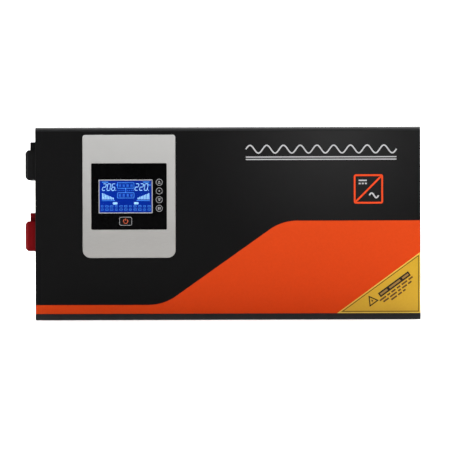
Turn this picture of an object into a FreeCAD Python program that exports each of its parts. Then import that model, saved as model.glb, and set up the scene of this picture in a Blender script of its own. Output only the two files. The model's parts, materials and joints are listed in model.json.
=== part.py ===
"""A wall-type pure sine wave power inverter with its battery terminals, fans, outlets and power electronics.

Frame: +Z up, +X to the right of someone who faces the front, +Y from the front to the wall side.
The origin is the middle of the case's bottom face. Lengths are in millimetres.
"""

import FreeCAD
import Part
import Sketcher

import math
import os
import re

DOC = FreeCAD.newDocument("power_inverter")

# Two lengths closer than this are the same when an edge is looked up by its place.
SAME_PLACE = 0.01
STRAIGHT = 1e-6
SQUARE = ((-1, -1), (1, -1), (1, 1), (-1, 1))

# ---------------------------------------------------------------- driving dimensions

DIMENSIONS = {
    # case
    "case_width": 434.0,
    "case_depth": 179.0,
    "case_height": 218.0,
    "steel": 1.2,
    "bend_radius": 4.5,
    "flange_bend": 2.0,
    "flange_length": 14.0,
    "panel_recess": 3.0,
    "flange_side_gap": 0.5,
    "overcut": 1.0,
    # fasteners
    "case_screw_radius": 2.0,
    "case_screw_head": 3.7,
    "case_screw_length": 8.0,
    "case_screw_pitch": 150.0,
    "end_screw_setback": 45.0,
    "back_screw_inset": 40.0,
    "small_screw_radius": 1.5,
    "small_screw_head": 2.8,
    "small_screw_head_height": 1.9,
    "small_screw_length": 6.0,
    "crown_share": 0.35,
    "crown_top_share": 0.75,
    "hole_gap": 0.05,
    "recess_width": 0.8,
    "recess_depth": 0.8,
    "wall_nut_inset": 40.0,
    "wall_nut_edge": 25.0,
    "wall_nut_bore": 2.5,
    "wall_nut_neck": 4.0,
    "wall_nut_flange": 5.5,
    "wall_nut_height": 6.0,
    # front graphic overlay
    "overlay_thickness": 0.25,
    "overlay_side_gap": 0.5,
    "overlay_bottom": 7.5,
    "overlay_top_gap": 5.0,
    "print_thickness": 0.1,
    "sweep_low": 17.4,
    "sweep_high": 111.8,
    "sweep_angle": 35.3,
    "sweep_middle": -5.8,
    "sweep_lead": 17.0,
    "corner_width": 93.7,
    "corner_height": 68.4,
    # display bezel and window
    "bezel_width": 104.8,
    "bezel_height": 138.4,
    "bezel_thickness": 1.6,
    "bezel_left": 53.3,
    "bezel_top": 9.1,
    "bezel_lower_corner": 9.0,
    "bezel_upper_corner": 3.0,
    "bezel_edge": 0.5,
    "bezel_lap": 4.0,
    "window_width": 84.9,
    "window_height": 74.6,
    "window_drop": 32.0,
    "window_corner": 1.2,
    "window_recess": 0.15,
    "window_gap": 0.15,
    "ledge": 3.0,
    "lcd_width": 59.4,
    "lcd_height": 36.6,
    "lcd_shift": 3.8,
    "lcd_gap": 0.1,
    "lcd_module_border": 2.4,
    "lcd_module_corner": 1.0,
    "key_radius": 4.1,
    "key_pitch": 9.8,
    "key_right": 8.4,
    "key_top": 21.4,
    "key_stand_out": 0.3,
    "key_gap": 0.15,
    "key_flange": 0.5,
    "key_flange_thickness": 0.8,
    "key_stem": 1.5,
    "key_travel": 0.6,
    "power_key_width": 14.8,
    "power_key_height": 10.3,
    "power_key_corner": 2.4,
    "power_key_up": 9.4,
    "key_edge": 0.3,
    "carrier_wall": 3.0,
    "carrier_rim": 2.0,
    "carrier_depth": 8.0,
    "board_thickness": 1.6,
    "switch_size": 6.0,
    "switch_height": 3.4,
    "switch_plunger": 0.6,
    # battery terminals
    "terminal_setback": 38.0,
    "terminal_top": 15.4,
    "terminal_pitch": 81.0,
    "hood_width": 34.0,
    "hood_height": 34.2,
    "hood_reach": 14.0,
    "hood_wall": 1.5,
    "hood_bevel": 3.2,
    "hood_inner_bevel": 2.3,
    "hood_rim_gap": 0.2,
    "neck_width": 18.0,
    "neck_height": 9.5,
    "neck_reach": 10.0,
    "base_thickness": 2.0,
    "boss_width": 24.0,
    "boss_depth": 10.0,
    "stud_radius": 4.0,
    "stud_shank": 3.8,
    "stud_outside": 13.0,
    "stud_inside": 22.0,
    "washer_radius": 8.0,
    "washer_thickness": 1.6,
    "spring_washer_radius": 7.2,
    "spring_washer_thickness": 2.0,
    "stud_nut_flats": 13.0,
    "stud_nut_height": 5.0,
    "hinge_barrel": 2.0,
    "hinge_pin": 1.0,
    "hinge_run_gap": 0.06,
    "hinge_end_gap": 0.3,
    "hinge_offset": 2.3,
    "hinge_stand": 0.4,
    "hinge_tab_gap": 0.2,
    "knuckle_length": 7.0,
    "busbar_width": 20.0,
    "busbar_thickness": 3.0,
    "busbar_board_inset": 4.0,
    "busbar_foot": 15.0,
    "busbar_clear": 6.0,
    # fans
    "fan_size": 80.0,
    "fan_thickness": 25.0,
    "fan_wall": 1.8,
    "fan_corner": 4.0,
    "fan_flange": 4.0,
    "fan_duct_wall": 1.6,
    "fan_hole_inset": 4.25,
    "fan_hole_radius": 2.2,
    "fan_back_margin": 10.0,
    "fan_height": 125.0,
    "fan_hub": 16.5,
    "fan_hub_skirt": 2.0,
    "fan_base_thickness": 3.5,
    "fan_strut": 5.0,
    "fan_end_gap": 1.0,
    "fan_tip_gap": 2.2,
    "fan_root_sink": 1.0,
    "fan_root_angle": 48.0,
    "fan_tip_angle": 62.0,
    "fan_blade_chord": 21.0,
    "fan_blade_thickness": 1.5,
    "fan_shaft": 1.5,
    "fan_opening_inset": 2.0,
    "guard_wire": 0.8,
    "guard_tilt": 45.0,
    "guard_ring_step": 9.0,
    "guard_eye": 3.0,
    "guard_rings": 4,
    "fan_blades": 7,
    "fan_screw_radius": 2.0,
    "fan_screw_length": 10.0,
    "fan_screw_head": 3.6,
    "fan_screw_head_height": 2.2,
    # inlet slots in the battery end panel
    "slot_width": 3.0,
    "slot_height": 22.0,
    "slot_pitch": 7.0,
    "slot_bottom": 14.0,
    "slot_setback": 18.0,
    # outlets
    "outlet_size": 48.0,
    "outlet_setback": 7.0,
    "outlet_low": 80.0,
    "outlet_pitch": 56.0,
    "outlet_rim": 3.0,
    "outlet_rim_corner": 4.0,
    "outlet_rim_edge": 1.0,
    "outlet_barrel": 22.0,
    "outlet_well": 19.6,
    "outlet_well_depth": 17.5,
    "outlet_back_wall": 7.0,
    "outlet_pin_spacing": 19.0,
    "outlet_pin_hole": 2.6,
    "outlet_clip_width": 5.0,
    "outlet_clip_length": 12.0,
    "outlet_clip_stand": 1.4,
    # mains terminal block
    "pole_count": 6,
    "pole_pitch": 11.0,
    "pole_width": 9.0,
    "block_end": 4.0,
    "block_height": 26.0,
    "block_bottom": 20.0,
    "block_back_margin": 18.0,
    "block_out": 6.0,
    "block_in": 14.0,
    "block_channel": 8.0,
    "block_roof": 6.0,
    "clamp_drop": 1.0,
    "clamp_screw_radius": 1.75,
    "clamp_screw_length": 6.0,
    "clamp_screw_head": 3.2,
    "clamp_screw_head_height": 2.4,
    "clamp_plate": 8.0,
    "clamp_plate_thickness": 1.2,
    "flap_thickness": 1.2,
    "flap_gap": 1.1,
    "flap_barrel": 1.6,
    "flap_lift": 1.9,
    "flap_trunnion": 1.0,
    "flap_lug": 3.0,
    "flap_tuck": 0.4,
    "flap_overhang": 0.5,
    # breaker, data port and earth stud
    "breaker_height": 32.0,
    "breaker_setback": 21.0,
    "breaker_neck": 5.5,
    "breaker_neck_out": 4.0,
    "breaker_nut_flats": 14.0,
    "breaker_nut_height": 2.5,
    "breaker_button": 3.6,
    "breaker_button_out": 5.0,
    "breaker_button_root": 8.0,
    "breaker_button_edge": 0.6,
    "breaker_button_gap": 0.1,
    "breaker_body_width": 14.0,
    "breaker_body_height": 32.0,
    "breaker_body_depth": 28.0,
    "port_setback": 46.0,
    "port_height": 32.0,
    "port_width": 16.0,
    "port_tall": 13.5,
    "port_depth": 16.0,
    "port_lip": 0.8,
    "port_hole_width": 11.8,
    "port_hole_height": 8.0,
    "port_key_width": 5.0,
    "port_key_height": 2.4,
    "port_wall": 1.5,
    "earth_back_margin": 14.0,
    "earth_height": 67.0,
    "earth_radius": 3.0,
    "earth_shank": 2.8,
    "earth_out": 12.0,
    "earth_in": 6.0,
    "earth_washer": 6.0,
    "earth_washer_thickness": 1.2,
    "earth_nut_flats": 10.0,
    "earth_nut_height": 5.0,
    # transformer
    "toroid_radius": 74.0,
    "toroid_bore": 26.0,
    "toroid_height": 66.0,
    "toroid_corner": 12.0,
    "toroid_pad": 3.0,
    "toroid_end_gap": 6.0,
    "clamp_disc": 36.0,
    "clamp_disc_thickness": 3.0,
    "clamp_bolt": 5.0,
    "clamp_head_flats": 16.0,
    "clamp_head_height": 7.0,
    # boards and what stands on them
    "power_board_width": 130.0,
    "power_board_gap": 8.0,
    "power_board_margin": 29.0,
    "standoff": 10.0,
    "standoff_flats": 6.0,
    "standoff_inset": 6.0,
    "sink_length": 100.0,
    "sink_inset": 24.0,
    "sink_margin": 4.0,
    "sink_base": 4.0,
    "sink_depth": 40.0,
    "sink_fin": 1.6,
    "sink_fin_length": 24.0,
    "sink_fin_count": 7,
    "transistor_width": 15.6,
    "transistor_thickness": 5.0,
    "transistor_height": 20.0,
    "transistor_pitch": 19.0,
    "transistor_count": 5,
    "capacitor_radius": 9.0,
    "capacitor_height": 34.0,
    "capacitor_pitch": 20.0,
    "capacitor_count": 5,
    "relay_width": 16.0,
    "relay_length": 20.0,
    "relay_tall": 20.0,
    "relay_pitch": 22.0,
    "relay_count": 4,
    "relay_row_down": 10.0,
    "can_row_up": 11.0,
    "control_width": 90.0,
    "control_height": 60.0,
    "control_stack": 46.0,
}

SHEET = DOC.addObject("Spreadsheet::Sheet", "dims")
for row, (alias, number) in enumerate(DIMENSIONS.items(), start=1):
    SHEET.set(f"A{row}", alias.replace("_", " "))
    SHEET.set(f"B{row}", str(number))
    SHEET.setAlias(f"B{row}", alias)
DOC.recompute()

# Planes and centres that several pieces share, as formulas of the sheet.
LEFT, RIGHT = "(-case_width / 2)", "(case_width / 2)"
FRONT, BACK = "(-case_depth / 2)", "(case_depth / 2)"
TOP = "case_height"
DC_FACE = f"({LEFT} + panel_recess)"
AC_FACE = f"({RIGHT} - panel_recess)"
INNER_BACK = f"({BACK} - steel)"
BEZEL_X = f"({LEFT} + bezel_left + bezel_width / 2)"
BEZEL_Z = "(case_height - bezel_top - bezel_height / 2)"
WINDOW_X = BEZEL_X
WINDOW_Z = "(case_height - bezel_top - window_drop - window_height / 2)"
LCD_X = f"({WINDOW_X} - lcd_shift)"
LCD_Z = WINDOW_Z
INNER_FRONT = f"({FRONT} + steel)"
WINDOW_FACE = f"({FRONT} - bezel_thickness + window_recess)"
TOROID_X = f"({AC_FACE} - steel - fan_thickness - toroid_end_gap - toroid_radius)"
TOROID_Z = "(2 * steel + toroid_end_gap + toroid_radius)"
OUTWARD = {"dc": -1, "ac": 1}
END_FACE = {"dc": DC_FACE, "ac": AC_FACE}

PARTS = {}


# ---------------------------------------------------------------- small helpers


def size(alias):
    """The number in a cell of the sheet."""
    return float(SHEET.get(alias))


def count(alias):
    return int(round(size(alias)))


def formula(text):
    """A formula of cell aliases as a FreeCAD expression."""
    return re.sub(
        r"[a-z][a-z_]*",
        lambda m: "dims." + m.group(0) if m.group(0) in DIMENSIONS else m.group(0),
        str(text),
    )


def bind(obj, prop, text):
    obj.setExpression(prop, formula(text))


def place(obj, x="0", y="0", z="0"):
    for axis, text in zip("xyz", (x, y, z)):
        bind(obj, f"Placement.Base.{axis}", text)


def keep(label, obj):
    """Makes an object a sub-part of the model under its label."""
    obj.Label = label
    PARTS[label] = obj
    return obj


def box(name, x, y, z):
    """A block between two formulas on each axis."""
    obj = DOC.addObject("Part::Box", name)
    for prop, (low, high) in zip(("Length", "Width", "Height"), (x, y, z)):
        bind(obj, prop, f"({high}) - ({low})")
    place(obj, x[0], y[0], z[0])
    return obj


def spread(centre, half):
    """The span that reaches half to each side of a centre."""
    return f"{centre} - ({half})", f"{centre} + ({half})"


AXIS_TURN = {
    "X": FreeCAD.Rotation(FreeCAD.Vector(0, 1, 0), 90),
    "Y": FreeCAD.Rotation(FreeCAD.Vector(1, 0, 0), -90),
    "Z": FreeCAD.Rotation(),
}


def along(axis, low, centre):
    """Places formulas as x, y, z: low on the axis, centre on the other two in X, Y, Z order."""
    first, second = centre
    return {"X": (low, first, second), "Y": (first, low, second), "Z": (first, second, low)}[axis]


def rod(name, radius, axis, span, centre):
    obj = DOC.addObject("Part::Cylinder", name)
    obj.Placement = FreeCAD.Placement(FreeCAD.Vector(), AXIS_TURN[axis])
    bind(obj, "Radius", radius)
    bind(obj, "Height", f"({span[1]}) - ({span[0]})")
    place(obj, *along(axis, span[0], centre))
    return obj


def cone(name, radii, axis, span, centre):
    obj = DOC.addObject("Part::Cone", name)
    obj.Placement = FreeCAD.Placement(FreeCAD.Vector(), AXIS_TURN[axis])
    bind(obj, "Radius1", radii[0])
    bind(obj, "Radius2", radii[1])
    bind(obj, "Height", f"({span[1]}) - ({span[0]})")
    place(obj, *along(axis, span[0], centre))
    return obj


def hexagon(name, flats, axis, span, centre):
    obj = DOC.addObject("Part::Prism", name)
    obj.Polygon = 6
    obj.Placement = FreeCAD.Placement(FreeCAD.Vector(), AXIS_TURN[axis])
    bind(obj, "Circumradius", f"({flats}) / (2 * cos(30))")
    bind(obj, "Height", f"({span[1]}) - ({span[0]})")
    place(obj, *along(axis, span[0], centre))
    return obj


def ring(name, radius, wire, axis, level, centre):
    """A torus of the given wire radius."""
    obj = DOC.addObject("Part::Torus", name)
    obj.Placement = FreeCAD.Placement(FreeCAD.Vector(), AXIS_TURN[axis])
    bind(obj, "Radius1", radius)
    bind(obj, "Radius2", wire)
    place(obj, *along(axis, level, centre))
    return obj


def fuse(name, pieces):
    obj = DOC.addObject("Part::MultiFuse", name)
    obj.Shapes = pieces
    obj.Refine = True
    return obj


def cut(name, base, tools):
    obj = DOC.addObject("Part::Cut", name)
    obj.Base = base
    obj.Tool = tools[0] if len(tools) == 1 else fuse(name + "_tool", tools)
    obj.Refine = True
    return obj


def group(name, pieces):
    obj = DOC.addObject("Part::Compound", name)
    obj.Links = pieces
    return obj


def edges_of(shape, axis, where):
    """Numbers of the straight edges along an axis whose middle passes a test."""
    wanted = {"X": FreeCAD.Vector(1, 0, 0), "Y": FreeCAD.Vector(0, 1, 0), "Z": FreeCAD.Vector(0, 0, 1)}
    found = []
    for number, edge in enumerate(shape.Edges, start=1):
        if edge.Curve.TypeId != "Part::GeomLine":
            continue
        direction = (edge.Vertexes[-1].Point - edge.Vertexes[0].Point).normalize()
        straight = any(direction.cross(wanted[a]).Length < STRAIGHT for a in axis)
        if straight and where(edge.CenterOfMass):
            found.append(number)
    return found


def rounded(name, base, radius, axis="XYZ", where=lambda p: True):
    """Fillets the straight edges along the axes named."""
    DOC.recompute()
    obj = DOC.addObject("Part::Fillet", name)
    obj.Base = base
    obj.Edges = [(n, radius, radius) for n in edges_of(base.Shape, axis, where)]
    return obj


def inward(face, sign, near, far):
    """The span between two depths under a face whose outward normal has this sign. Outside is negative."""
    if sign > 0:
        return f"{face} - ({far})", f"{face} - ({near})"
    return f"{face} + ({near})", f"{face} + ({far})"


def cross_recess(name, axis, sign, face, centre):
    """The two slots of a cross recess, as cutting tools."""
    a, b = centre
    long, short = "case_screw_radius", "recess_width / 2"
    span = inward(face, sign, "-overcut", "recess_depth")
    tools = []
    for n, (u, v) in enumerate(((long, short), (short, long))):
        sides = ((f"{a} - {u}", f"{a} + {u}"), (f"{b} - {v}", f"{b} + {v}"))
        tools.append(box(f"{name}_slot_{n}", *along(axis, span, sides)))
    return tools


def flat_screw(name, axis, sign, face, centre):
    """A countersunk case screw, flush with the face it is driven into."""
    wide, thin = "case_screw_head", "case_screw_radius"
    radii = (thin, wide) if sign > 0 else (wide, thin)
    head = cone(name + "_head", radii, axis, inward(face, sign, "0", "steel"), centre)
    shank = rod(name + "_shank", thin, axis, inward(face, sign, "steel", "case_screw_length"), centre)
    return cut(name, fuse(name + "_blank", [head, shank]), cross_recess(name, axis, sign, face, centre))


def flat_screw_hole(name, axis, sign, face, centre):
    """The countersunk hole that a case screw needs, through the sheet and the flange under it."""
    wide, thin = "case_screw_head + hole_gap", "case_screw_radius + hole_gap"
    radii = (thin, wide) if sign > 0 else (wide, thin)
    head = cone(name + "_sink", radii, axis, inward(face, sign, "0", "steel"), centre)
    shank = rod(name + "_bore", thin, axis, inward(face, sign, "-overcut", "case_screw_length"), centre)
    return fuse(name, [head, shank])


def pan_screw(name, axis, sign, face, centre, length="small_screw_length", radius="small_screw_radius",
              head="small_screw_head", height="small_screw_head_height"):
    """A pan head screw whose head sits on the face."""
    seam = f"-({height} * (1 - crown_share))"
    rim = rod(name + "_rim", head, axis, inward(face, sign, seam, "0"), centre)
    crown = f"crown_top_share * {head}"
    radii = (head, crown) if sign > 0 else (crown, head)
    dome = cone(name + "_dome", radii, axis, inward(face, sign, f"-{height}", seam), centre)
    shank = rod(name + "_shank", radius, axis, inward(face, sign, "0", length), centre)
    blank = fuse(name + "_blank", [rim, dome, shank])
    top = f"({face} + {sign} * {height})"
    return cut(name, blank, cross_recess(name, axis, sign, top, centre))


def ringed(name, piece, bore, axis, span, centre):
    """A piece with a hole through it, such as a nut or a washer."""
    beyond = (f"{span[0]} - overcut", f"{span[1]} + overcut")
    return cut(name, piece, [rod(name + "_bore", bore, axis, beyond, centre)])


# ---------------------------------------------------------------- PartDesign helpers


def origin_plane(body, role):
    return next(f for f in body.Origin.OriginFeatures if f.Role == role)


def new_sketch(body, name, role):
    sketch = body.newObject("Sketcher::SketchObject", name)
    sketch.AttachmentSupport = [(origin_plane(body, role), "")]
    sketch.MapMode = "FlatFace"
    return sketch


def dimension(sketch, kind, name, text, *args):
    """Adds a driving dimension and binds it to a formula."""
    number = sketch.addConstraint(Sketcher.Constraint(kind, *args))
    sketch.renameConstraint(number, name)
    bind(sketch, f"Constraints.{name}", text)


def rectangle(sketch, width, height):
    """A rectangle about the sketch's origin, drawn 2 by 2 and then driven to its size."""
    corners = [FreeCAD.Vector(*p) for p in SQUARE]
    for n, corner in enumerate(corners):
        sketch.addGeometry(Part.LineSegment(corner, corners[(n + 1) % 4]), False)
    for n in range(4):
        sketch.addConstraint(Sketcher.Constraint("Coincident", n, 2, (n + 1) % 4, 1))
        sketch.addConstraint(Sketcher.Constraint("Horizontal" if n % 2 == 0 else "Vertical", n))
    sketch.addConstraint(Sketcher.Constraint("Symmetric", 0, 1, 1, 2, -1, 1))
    dimension(sketch, "DistanceX", "width", width, 0, 1, 0, 2, 2.0)
    dimension(sketch, "DistanceY", "height", height, 1, 1, 1, 2, 2.0)


def plate(name, role, width, height, thickness, at):
    """A body padded from a rectangle about the point at. It grows towards -Y, +X or +Z from its plane."""
    body = DOC.addObject("PartDesign::Body", name)
    sketch = new_sketch(body, name + "_outline", role)
    rectangle(sketch, width, height)
    pad = body.newObject("PartDesign::Pad", name + "_pad")
    pad.Profile = sketch
    bind(pad, "Length", thickness)
    place(body, *at)
    return body


def dress(body, kind, size_text, prop, axis, where=lambda p: True):
    """Adds a PartDesign fillet or chamfer on straight edges, picked by axis and place in the body."""
    DOC.recompute()
    tip = body.Tip
    obj = body.newObject("PartDesign::" + kind, f"{body.Name}_{kind.lower()}")
    obj.Base = (tip, [f"Edge{n}" for n in edges_of(tip.Shape, axis, where)])
    bind(obj, prop, size_text)
    return obj


def fillet(body, radius, axis, where=lambda p: True):
    return dress(body, "Fillet", radius, "Radius", axis, where)


def chamfer(body, size_text, axis, where=lambda p: True):
    return dress(body, "Chamfer", size_text, "Size", axis, where)


# ---------------------------------------------------------------- case


def front_cover_blank():
    """The U of top, front and bottom as one bent sheet."""
    body = plate("cover_blank", "YZ_Plane", "case_depth", "case_height", "case_width",
                 (LEFT, "0", "case_height / 2"))
    fillet(body, "bend_radius", "X", lambda p: p.y < 0)
    inner = plate("cover_hollow", "YZ_Plane", "case_depth", "case_height - 2 * steel",
                  "case_width + 2 * overcut", (f"{LEFT} - overcut", "steel", "case_height / 2"))
    fillet(inner, "bend_radius - steel", "X", lambda p: p.y < 0)
    return body, inner


def case_screw_points():
    """Every flush case screw: its name, axis, outward sign, face and the two other coordinates."""
    points = []
    for side, sign in OUTWARD.items():
        x = f"{END_FACE[side]} - {sign} * flange_length / 2"
        for row, y in (("front", f"{FRONT} + end_screw_setback"), ("rear", f"{BACK} - end_screw_setback")):
            points.append((f"{side}_{row}_bottom_screw", "Z", -1, "0", (x, y)))
            points.append((f"{side}_{row}_top_screw", "Z", 1, TOP, (x, y)))
        for row, z in (("low", "back_screw_inset"), ("high", f"{TOP} - back_screw_inset")):
            points.append((f"{side}_{row}_back_screw", "Y", 1, BACK, (x, z)))
    for n in (-1, 0, 1):
        x, y = f"{n} * case_screw_pitch", f"{BACK} - steel - flange_length / 2"
        points.append((f"rear_{n + 1}_bottom_screw", "Z", -1, "0", (x, y)))
        points.append((f"rear_{n + 1}_top_screw", "Z", 1, TOP, (x, y)))
    return points


def screw_holes(owner, wanted=lambda name: True):
    return [flat_screw_hole(f"{owner}_{p[0]}_hole", *p[1:]) for p in case_screw_points() if wanted(p[0])]


def front_cover():
    blank, hollow = front_cover_blank()
    opening = box("cover_window_cut", spread(WINDOW_X, "window_width / 2 + window_gap"),
                  (f"{FRONT} - overcut", f"{FRONT} + steel + overcut"),
                  spread(WINDOW_Z, "window_height / 2 + window_gap"))
    holes = screw_holes("cover", lambda name: "back_screw" not in name)
    keep("front_cover", cut("front_cover_solid", blank, [hollow, opening] + holes))


def back_plate():
    """The wall side: a flat sheet with a flange along its top and bottom edge."""
    z = ("steel", f"{TOP} - steel")
    blank = box("back_blank", (DC_FACE, AC_FACE), (f"{INNER_BACK} - flange_length", BACK), z)
    bent = rounded("back_bends", blank, size("flange_bend"), "X", lambda p: p.y > 0)
    tools = [box("back_hollow", (f"{DC_FACE} - overcut", f"{AC_FACE} + overcut"),
                 (f"{INNER_BACK} - flange_length - overcut", INNER_BACK),
                 ("2 * steel", f"{TOP} - 2 * steel"))]
    for side, sign in OUTWARD.items():
        far = f"{END_FACE[side]} + {sign} * overcut"
        near = f"{END_FACE[side]} - {sign} * (flange_length + flange_side_gap)"
        x = (far, near) if sign < 0 else (near, far)
        tools.append(box(f"back_{side}_notch", x, (f"{INNER_BACK} - flange_length - overcut", INNER_BACK),
                         ("0", TOP)))
    for name, x, z in wall_nut_points():
        tools.append(rod(f"{name}_seat", "wall_nut_neck", "Y",
                         (f"{INNER_BACK} - overcut", f"{BACK} + overcut"), (x, z)))
    tools.append(rod("transformer_bolt_hole", "clamp_bolt + hole_gap", "Y",
                     (f"{INNER_BACK} - overcut", f"{BACK} + overcut"), (TOROID_X, TOROID_Z)))
    tools += screw_holes("back", lambda name: "rear_" in name[:5] or "back_screw" in name)
    keep("back_plate", cut("back_plate_solid", bent, tools))


def wall_nut_points():
    points = []
    for side, x in (("dc", f"{DC_FACE} + wall_nut_inset"), ("ac", f"{AC_FACE} - wall_nut_inset")):
        for row, z in (("low", "wall_nut_edge"), ("high", f"{TOP} - wall_nut_edge")):
            points.append((f"{side}_{row}_wall_nut", x, z))
    return points


def wall_mount_nuts():
    """Four press nuts, flush with the wall side, that take the screws of a wall bracket."""
    nuts = []
    for name, x, z in wall_nut_points():
        neck = rod(name + "_neck", "wall_nut_neck", "Y", (INNER_BACK, BACK), (x, z))
        flange = rod(name + "_flange", "wall_nut_flange", "Y",
                     (f"{BACK} - wall_nut_height", INNER_BACK), (x, z))
        nuts.append(ringed(name, fuse(name + "_blank", [neck, flange]), "wall_nut_bore", "Y",
                           (f"{BACK} - wall_nut_height", BACK), (x, z)))
    keep("wall_mount_nuts", group("wall_mount_nut_group", nuts))


def end_panel(side, tools):
    """An end wall with flanges turned inwards at its top, bottom and back."""
    sign = OUTWARD[side]
    face = END_FACE[side]
    name = side + "_end_panel"
    blank = box(name + "_blank", inward(face, sign, "0", "flange_length"),
                (f"{FRONT} + steel", INNER_BACK), ("steel", f"{TOP} - steel"))
    corners = rounded(name + "_corners", blank, size("bend_radius"), "X", lambda p: p.y < 0)
    outer = size("case_width") / 2 - size("panel_recess")
    front = size("steel") - size("case_depth") / 2

    def outer_bend(p):
        """True on the outer face's top, bottom and back edges, where the flanges turn."""
        return abs(abs(p.x) - outer) < SAME_PLACE and p.y > front + SAME_PLACE

    bends = rounded(name + "_bends", corners, size("flange_bend"), "YZ", outer_bend)
    hollow = box(name + "_hollow", inward(face, sign, "steel", "flange_length + overcut"),
                 (f"{FRONT} + steel - overcut", f"{INNER_BACK} - steel"),
                 ("2 * steel", f"{TOP} - 2 * steel"))
    holes = screw_holes(side, lambda label: label.startswith(side + "_"))
    keep(name, cut(name + "_solid", bends, [hollow] + tools + holes))


def case_screws():
    keep("case_screws", group("case_screw_group", [flat_screw(*p) for p in case_screw_points()]))


# ---------------------------------------------------------------- front graphics


def front_overlay():
    """The printed film over the front, with an opening for the bezel."""
    film = box("overlay_blank", spread("0", "case_width / 2 - overlay_side_gap"),
               (f"{FRONT} - overlay_thickness", FRONT), ("overlay_bottom", f"{TOP} - overlay_top_gap"))
    hole = box("overlay_hole", spread(BEZEL_X, "bezel_width / 2 - bezel_lap"),
               (f"{FRONT} - 2 * overlay_thickness", f"{FRONT} + overcut"),
               spread(BEZEL_Z, "bezel_height / 2 - bezel_lap"))
    seat = plate("overlay_seat", "XZ_Plane", "bezel_width", "bezel_height", "2 * overlay_thickness",
                 (BEZEL_X, FRONT, BEZEL_Z))
    bezel_corners(seat)
    keep("front_overlay", cut("front_overlay_solid", film, [hole, seat]))


def sweep_bend(corner, before, after):
    """Start, middle and end of the arc that joins two straight edges that meet at a corner."""
    lead = size("sweep_lead")
    turn = before.getAngle(after)
    radius = lead / math.tan(turn / 2)
    towards = (after - before).normalize()
    centre = corner + towards * (radius / math.cos(turn / 2))
    return corner - before * lead, centre - towards * radius, corner + after * lead


def sweep_bends():
    """The arcs at the foot and the head of the orange field's slope."""
    slope = math.radians(size("sweep_angle"))
    low, high = size("sweep_low"), size("sweep_high")
    run = (high - low) / math.tan(slope)
    middle = size("sweep_middle")
    flat = FreeCAD.Vector(1, 0, 0)
    climb = FreeCAD.Vector(math.cos(slope), 0, math.sin(slope))
    lower = sweep_bend(FreeCAD.Vector(middle - run / 2, 0, low), flat, climb)
    upper = sweep_bend(FreeCAD.Vector(middle + run / 2, 0, high), climb, flat)
    return lower, upper


def sweep_graphic():
    """The orange field: a low band that climbs to a high one along an even slope."""
    half = size("case_width") / 2 - size("overlay_side_gap")
    low, high, bottom = size("sweep_low"), size("sweep_high"), size("overlay_bottom")
    lower, upper = sweep_bends()
    v = FreeCAD.Vector
    corners = [v(-half, 0, low), v(-half, 0, bottom), v(half, 0, bottom), v(half, 0, high)]
    edges = [
        Part.LineSegment(corners[0], corners[1]).toShape(),
        Part.LineSegment(corners[1], corners[2]).toShape(),
        Part.LineSegment(corners[2], corners[3]).toShape(),
        Part.LineSegment(corners[3], upper[2]).toShape(),
        Part.Arc(upper[2], upper[1], upper[0]).toShape(),
        Part.LineSegment(upper[0], lower[2]).toShape(),
        Part.Arc(lower[2], lower[1], lower[0]).toShape(),
        Part.LineSegment(lower[0], corners[0]).toShape(),
    ]
    face = Part.Face(Part.Wire(edges))
    sheet = DOC.addObject("Part::Feature", "sweep_sheet")
    sheet.Shape = face.extrude(v(0, -size("print_thickness"), 0))
    place(sheet, y=f"{FRONT} - overlay_thickness")
    corner = corner_prism("sweep_corner_cut")
    seat = plate("sweep_seat", "XZ_Plane", "bezel_width", "bezel_height", "bezel_thickness",
                 (BEZEL_X, FRONT, BEZEL_Z))
    bezel_corners(seat)
    keep("sweep_graphic", cut("sweep_graphic_solid", sheet, [corner, seat]))


def corner_prism(name):
    """The triangle in the lower right corner of the front."""
    half = size("case_width") / 2 - size("overlay_side_gap")
    bottom = size("overlay_bottom")
    v = FreeCAD.Vector
    points = [v(half, 0, bottom), v(half, 0, bottom + size("corner_height")),
              v(half - size("corner_width"), 0, bottom)]
    face = Part.Face(Part.makePolygon(points + points[:1]))
    prism = DOC.addObject("Part::Feature", name)
    prism.Shape = face.extrude(v(0, -size("print_thickness"), 0))
    place(prism, y=f"{FRONT} - overlay_thickness")
    return prism


def corner_graphic():
    keep("corner_graphic", corner_prism("corner_graphic_solid"))


# ---------------------------------------------------------------- display and keys


def bezel_corners(body):
    """Rounds the bezel's lower corners more than its upper ones."""
    fillet(body, "bezel_lower_corner", "Y", lambda p: p.z < 0)
    fillet(body, "bezel_upper_corner", "Y", lambda p: p.z > 0)


def display_bezel():
    """The brushed plate around the window."""
    body = plate("bezel_blank", "XZ_Plane", "bezel_width", "bezel_height", "bezel_thickness",
                 (BEZEL_X, FRONT, BEZEL_Z))
    bezel_corners(body)
    chamfer(body, "bezel_edge", "XZ", lambda p: p.y < -size("bezel_thickness") / 2)
    opening = plate("bezel_opening", "XZ_Plane", "window_width + 2 * window_gap",
                    "window_height + 2 * window_gap", "bezel_thickness + 2 * overcut",
                    (WINDOW_X, f"{FRONT} + overcut", WINDOW_Z))
    fillet(opening, "window_corner + window_gap", "Y")
    keep("display_bezel", cut("display_bezel_solid", body, [opening]))


def round_keys():
    """Name and height of each round key, from the top down."""
    names = ("up_key", "enter_key", "down_key", "back_key")
    top = f"{WINDOW_Z} + window_height / 2 - key_top"
    return [(name, f"({top} - {n} * key_pitch)") for n, name in enumerate(names)]


KEY_X = f"({WINDOW_X} + window_width / 2 - key_right)"
POWER_Z = f"({WINDOW_Z} - window_height / 2 + power_key_up)"


def power_cap(name, grow, deep, y):
    """The power key's rounded block, grown by a gap, with its back face at y."""
    body = plate(name, "XZ_Plane", f"power_key_width + 2 * ({grow})", f"power_key_height + 2 * ({grow})",
                 deep, (LCD_X, y, POWER_Z))
    fillet(body, f"power_key_corner + {grow}", "Y")
    return body


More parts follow.
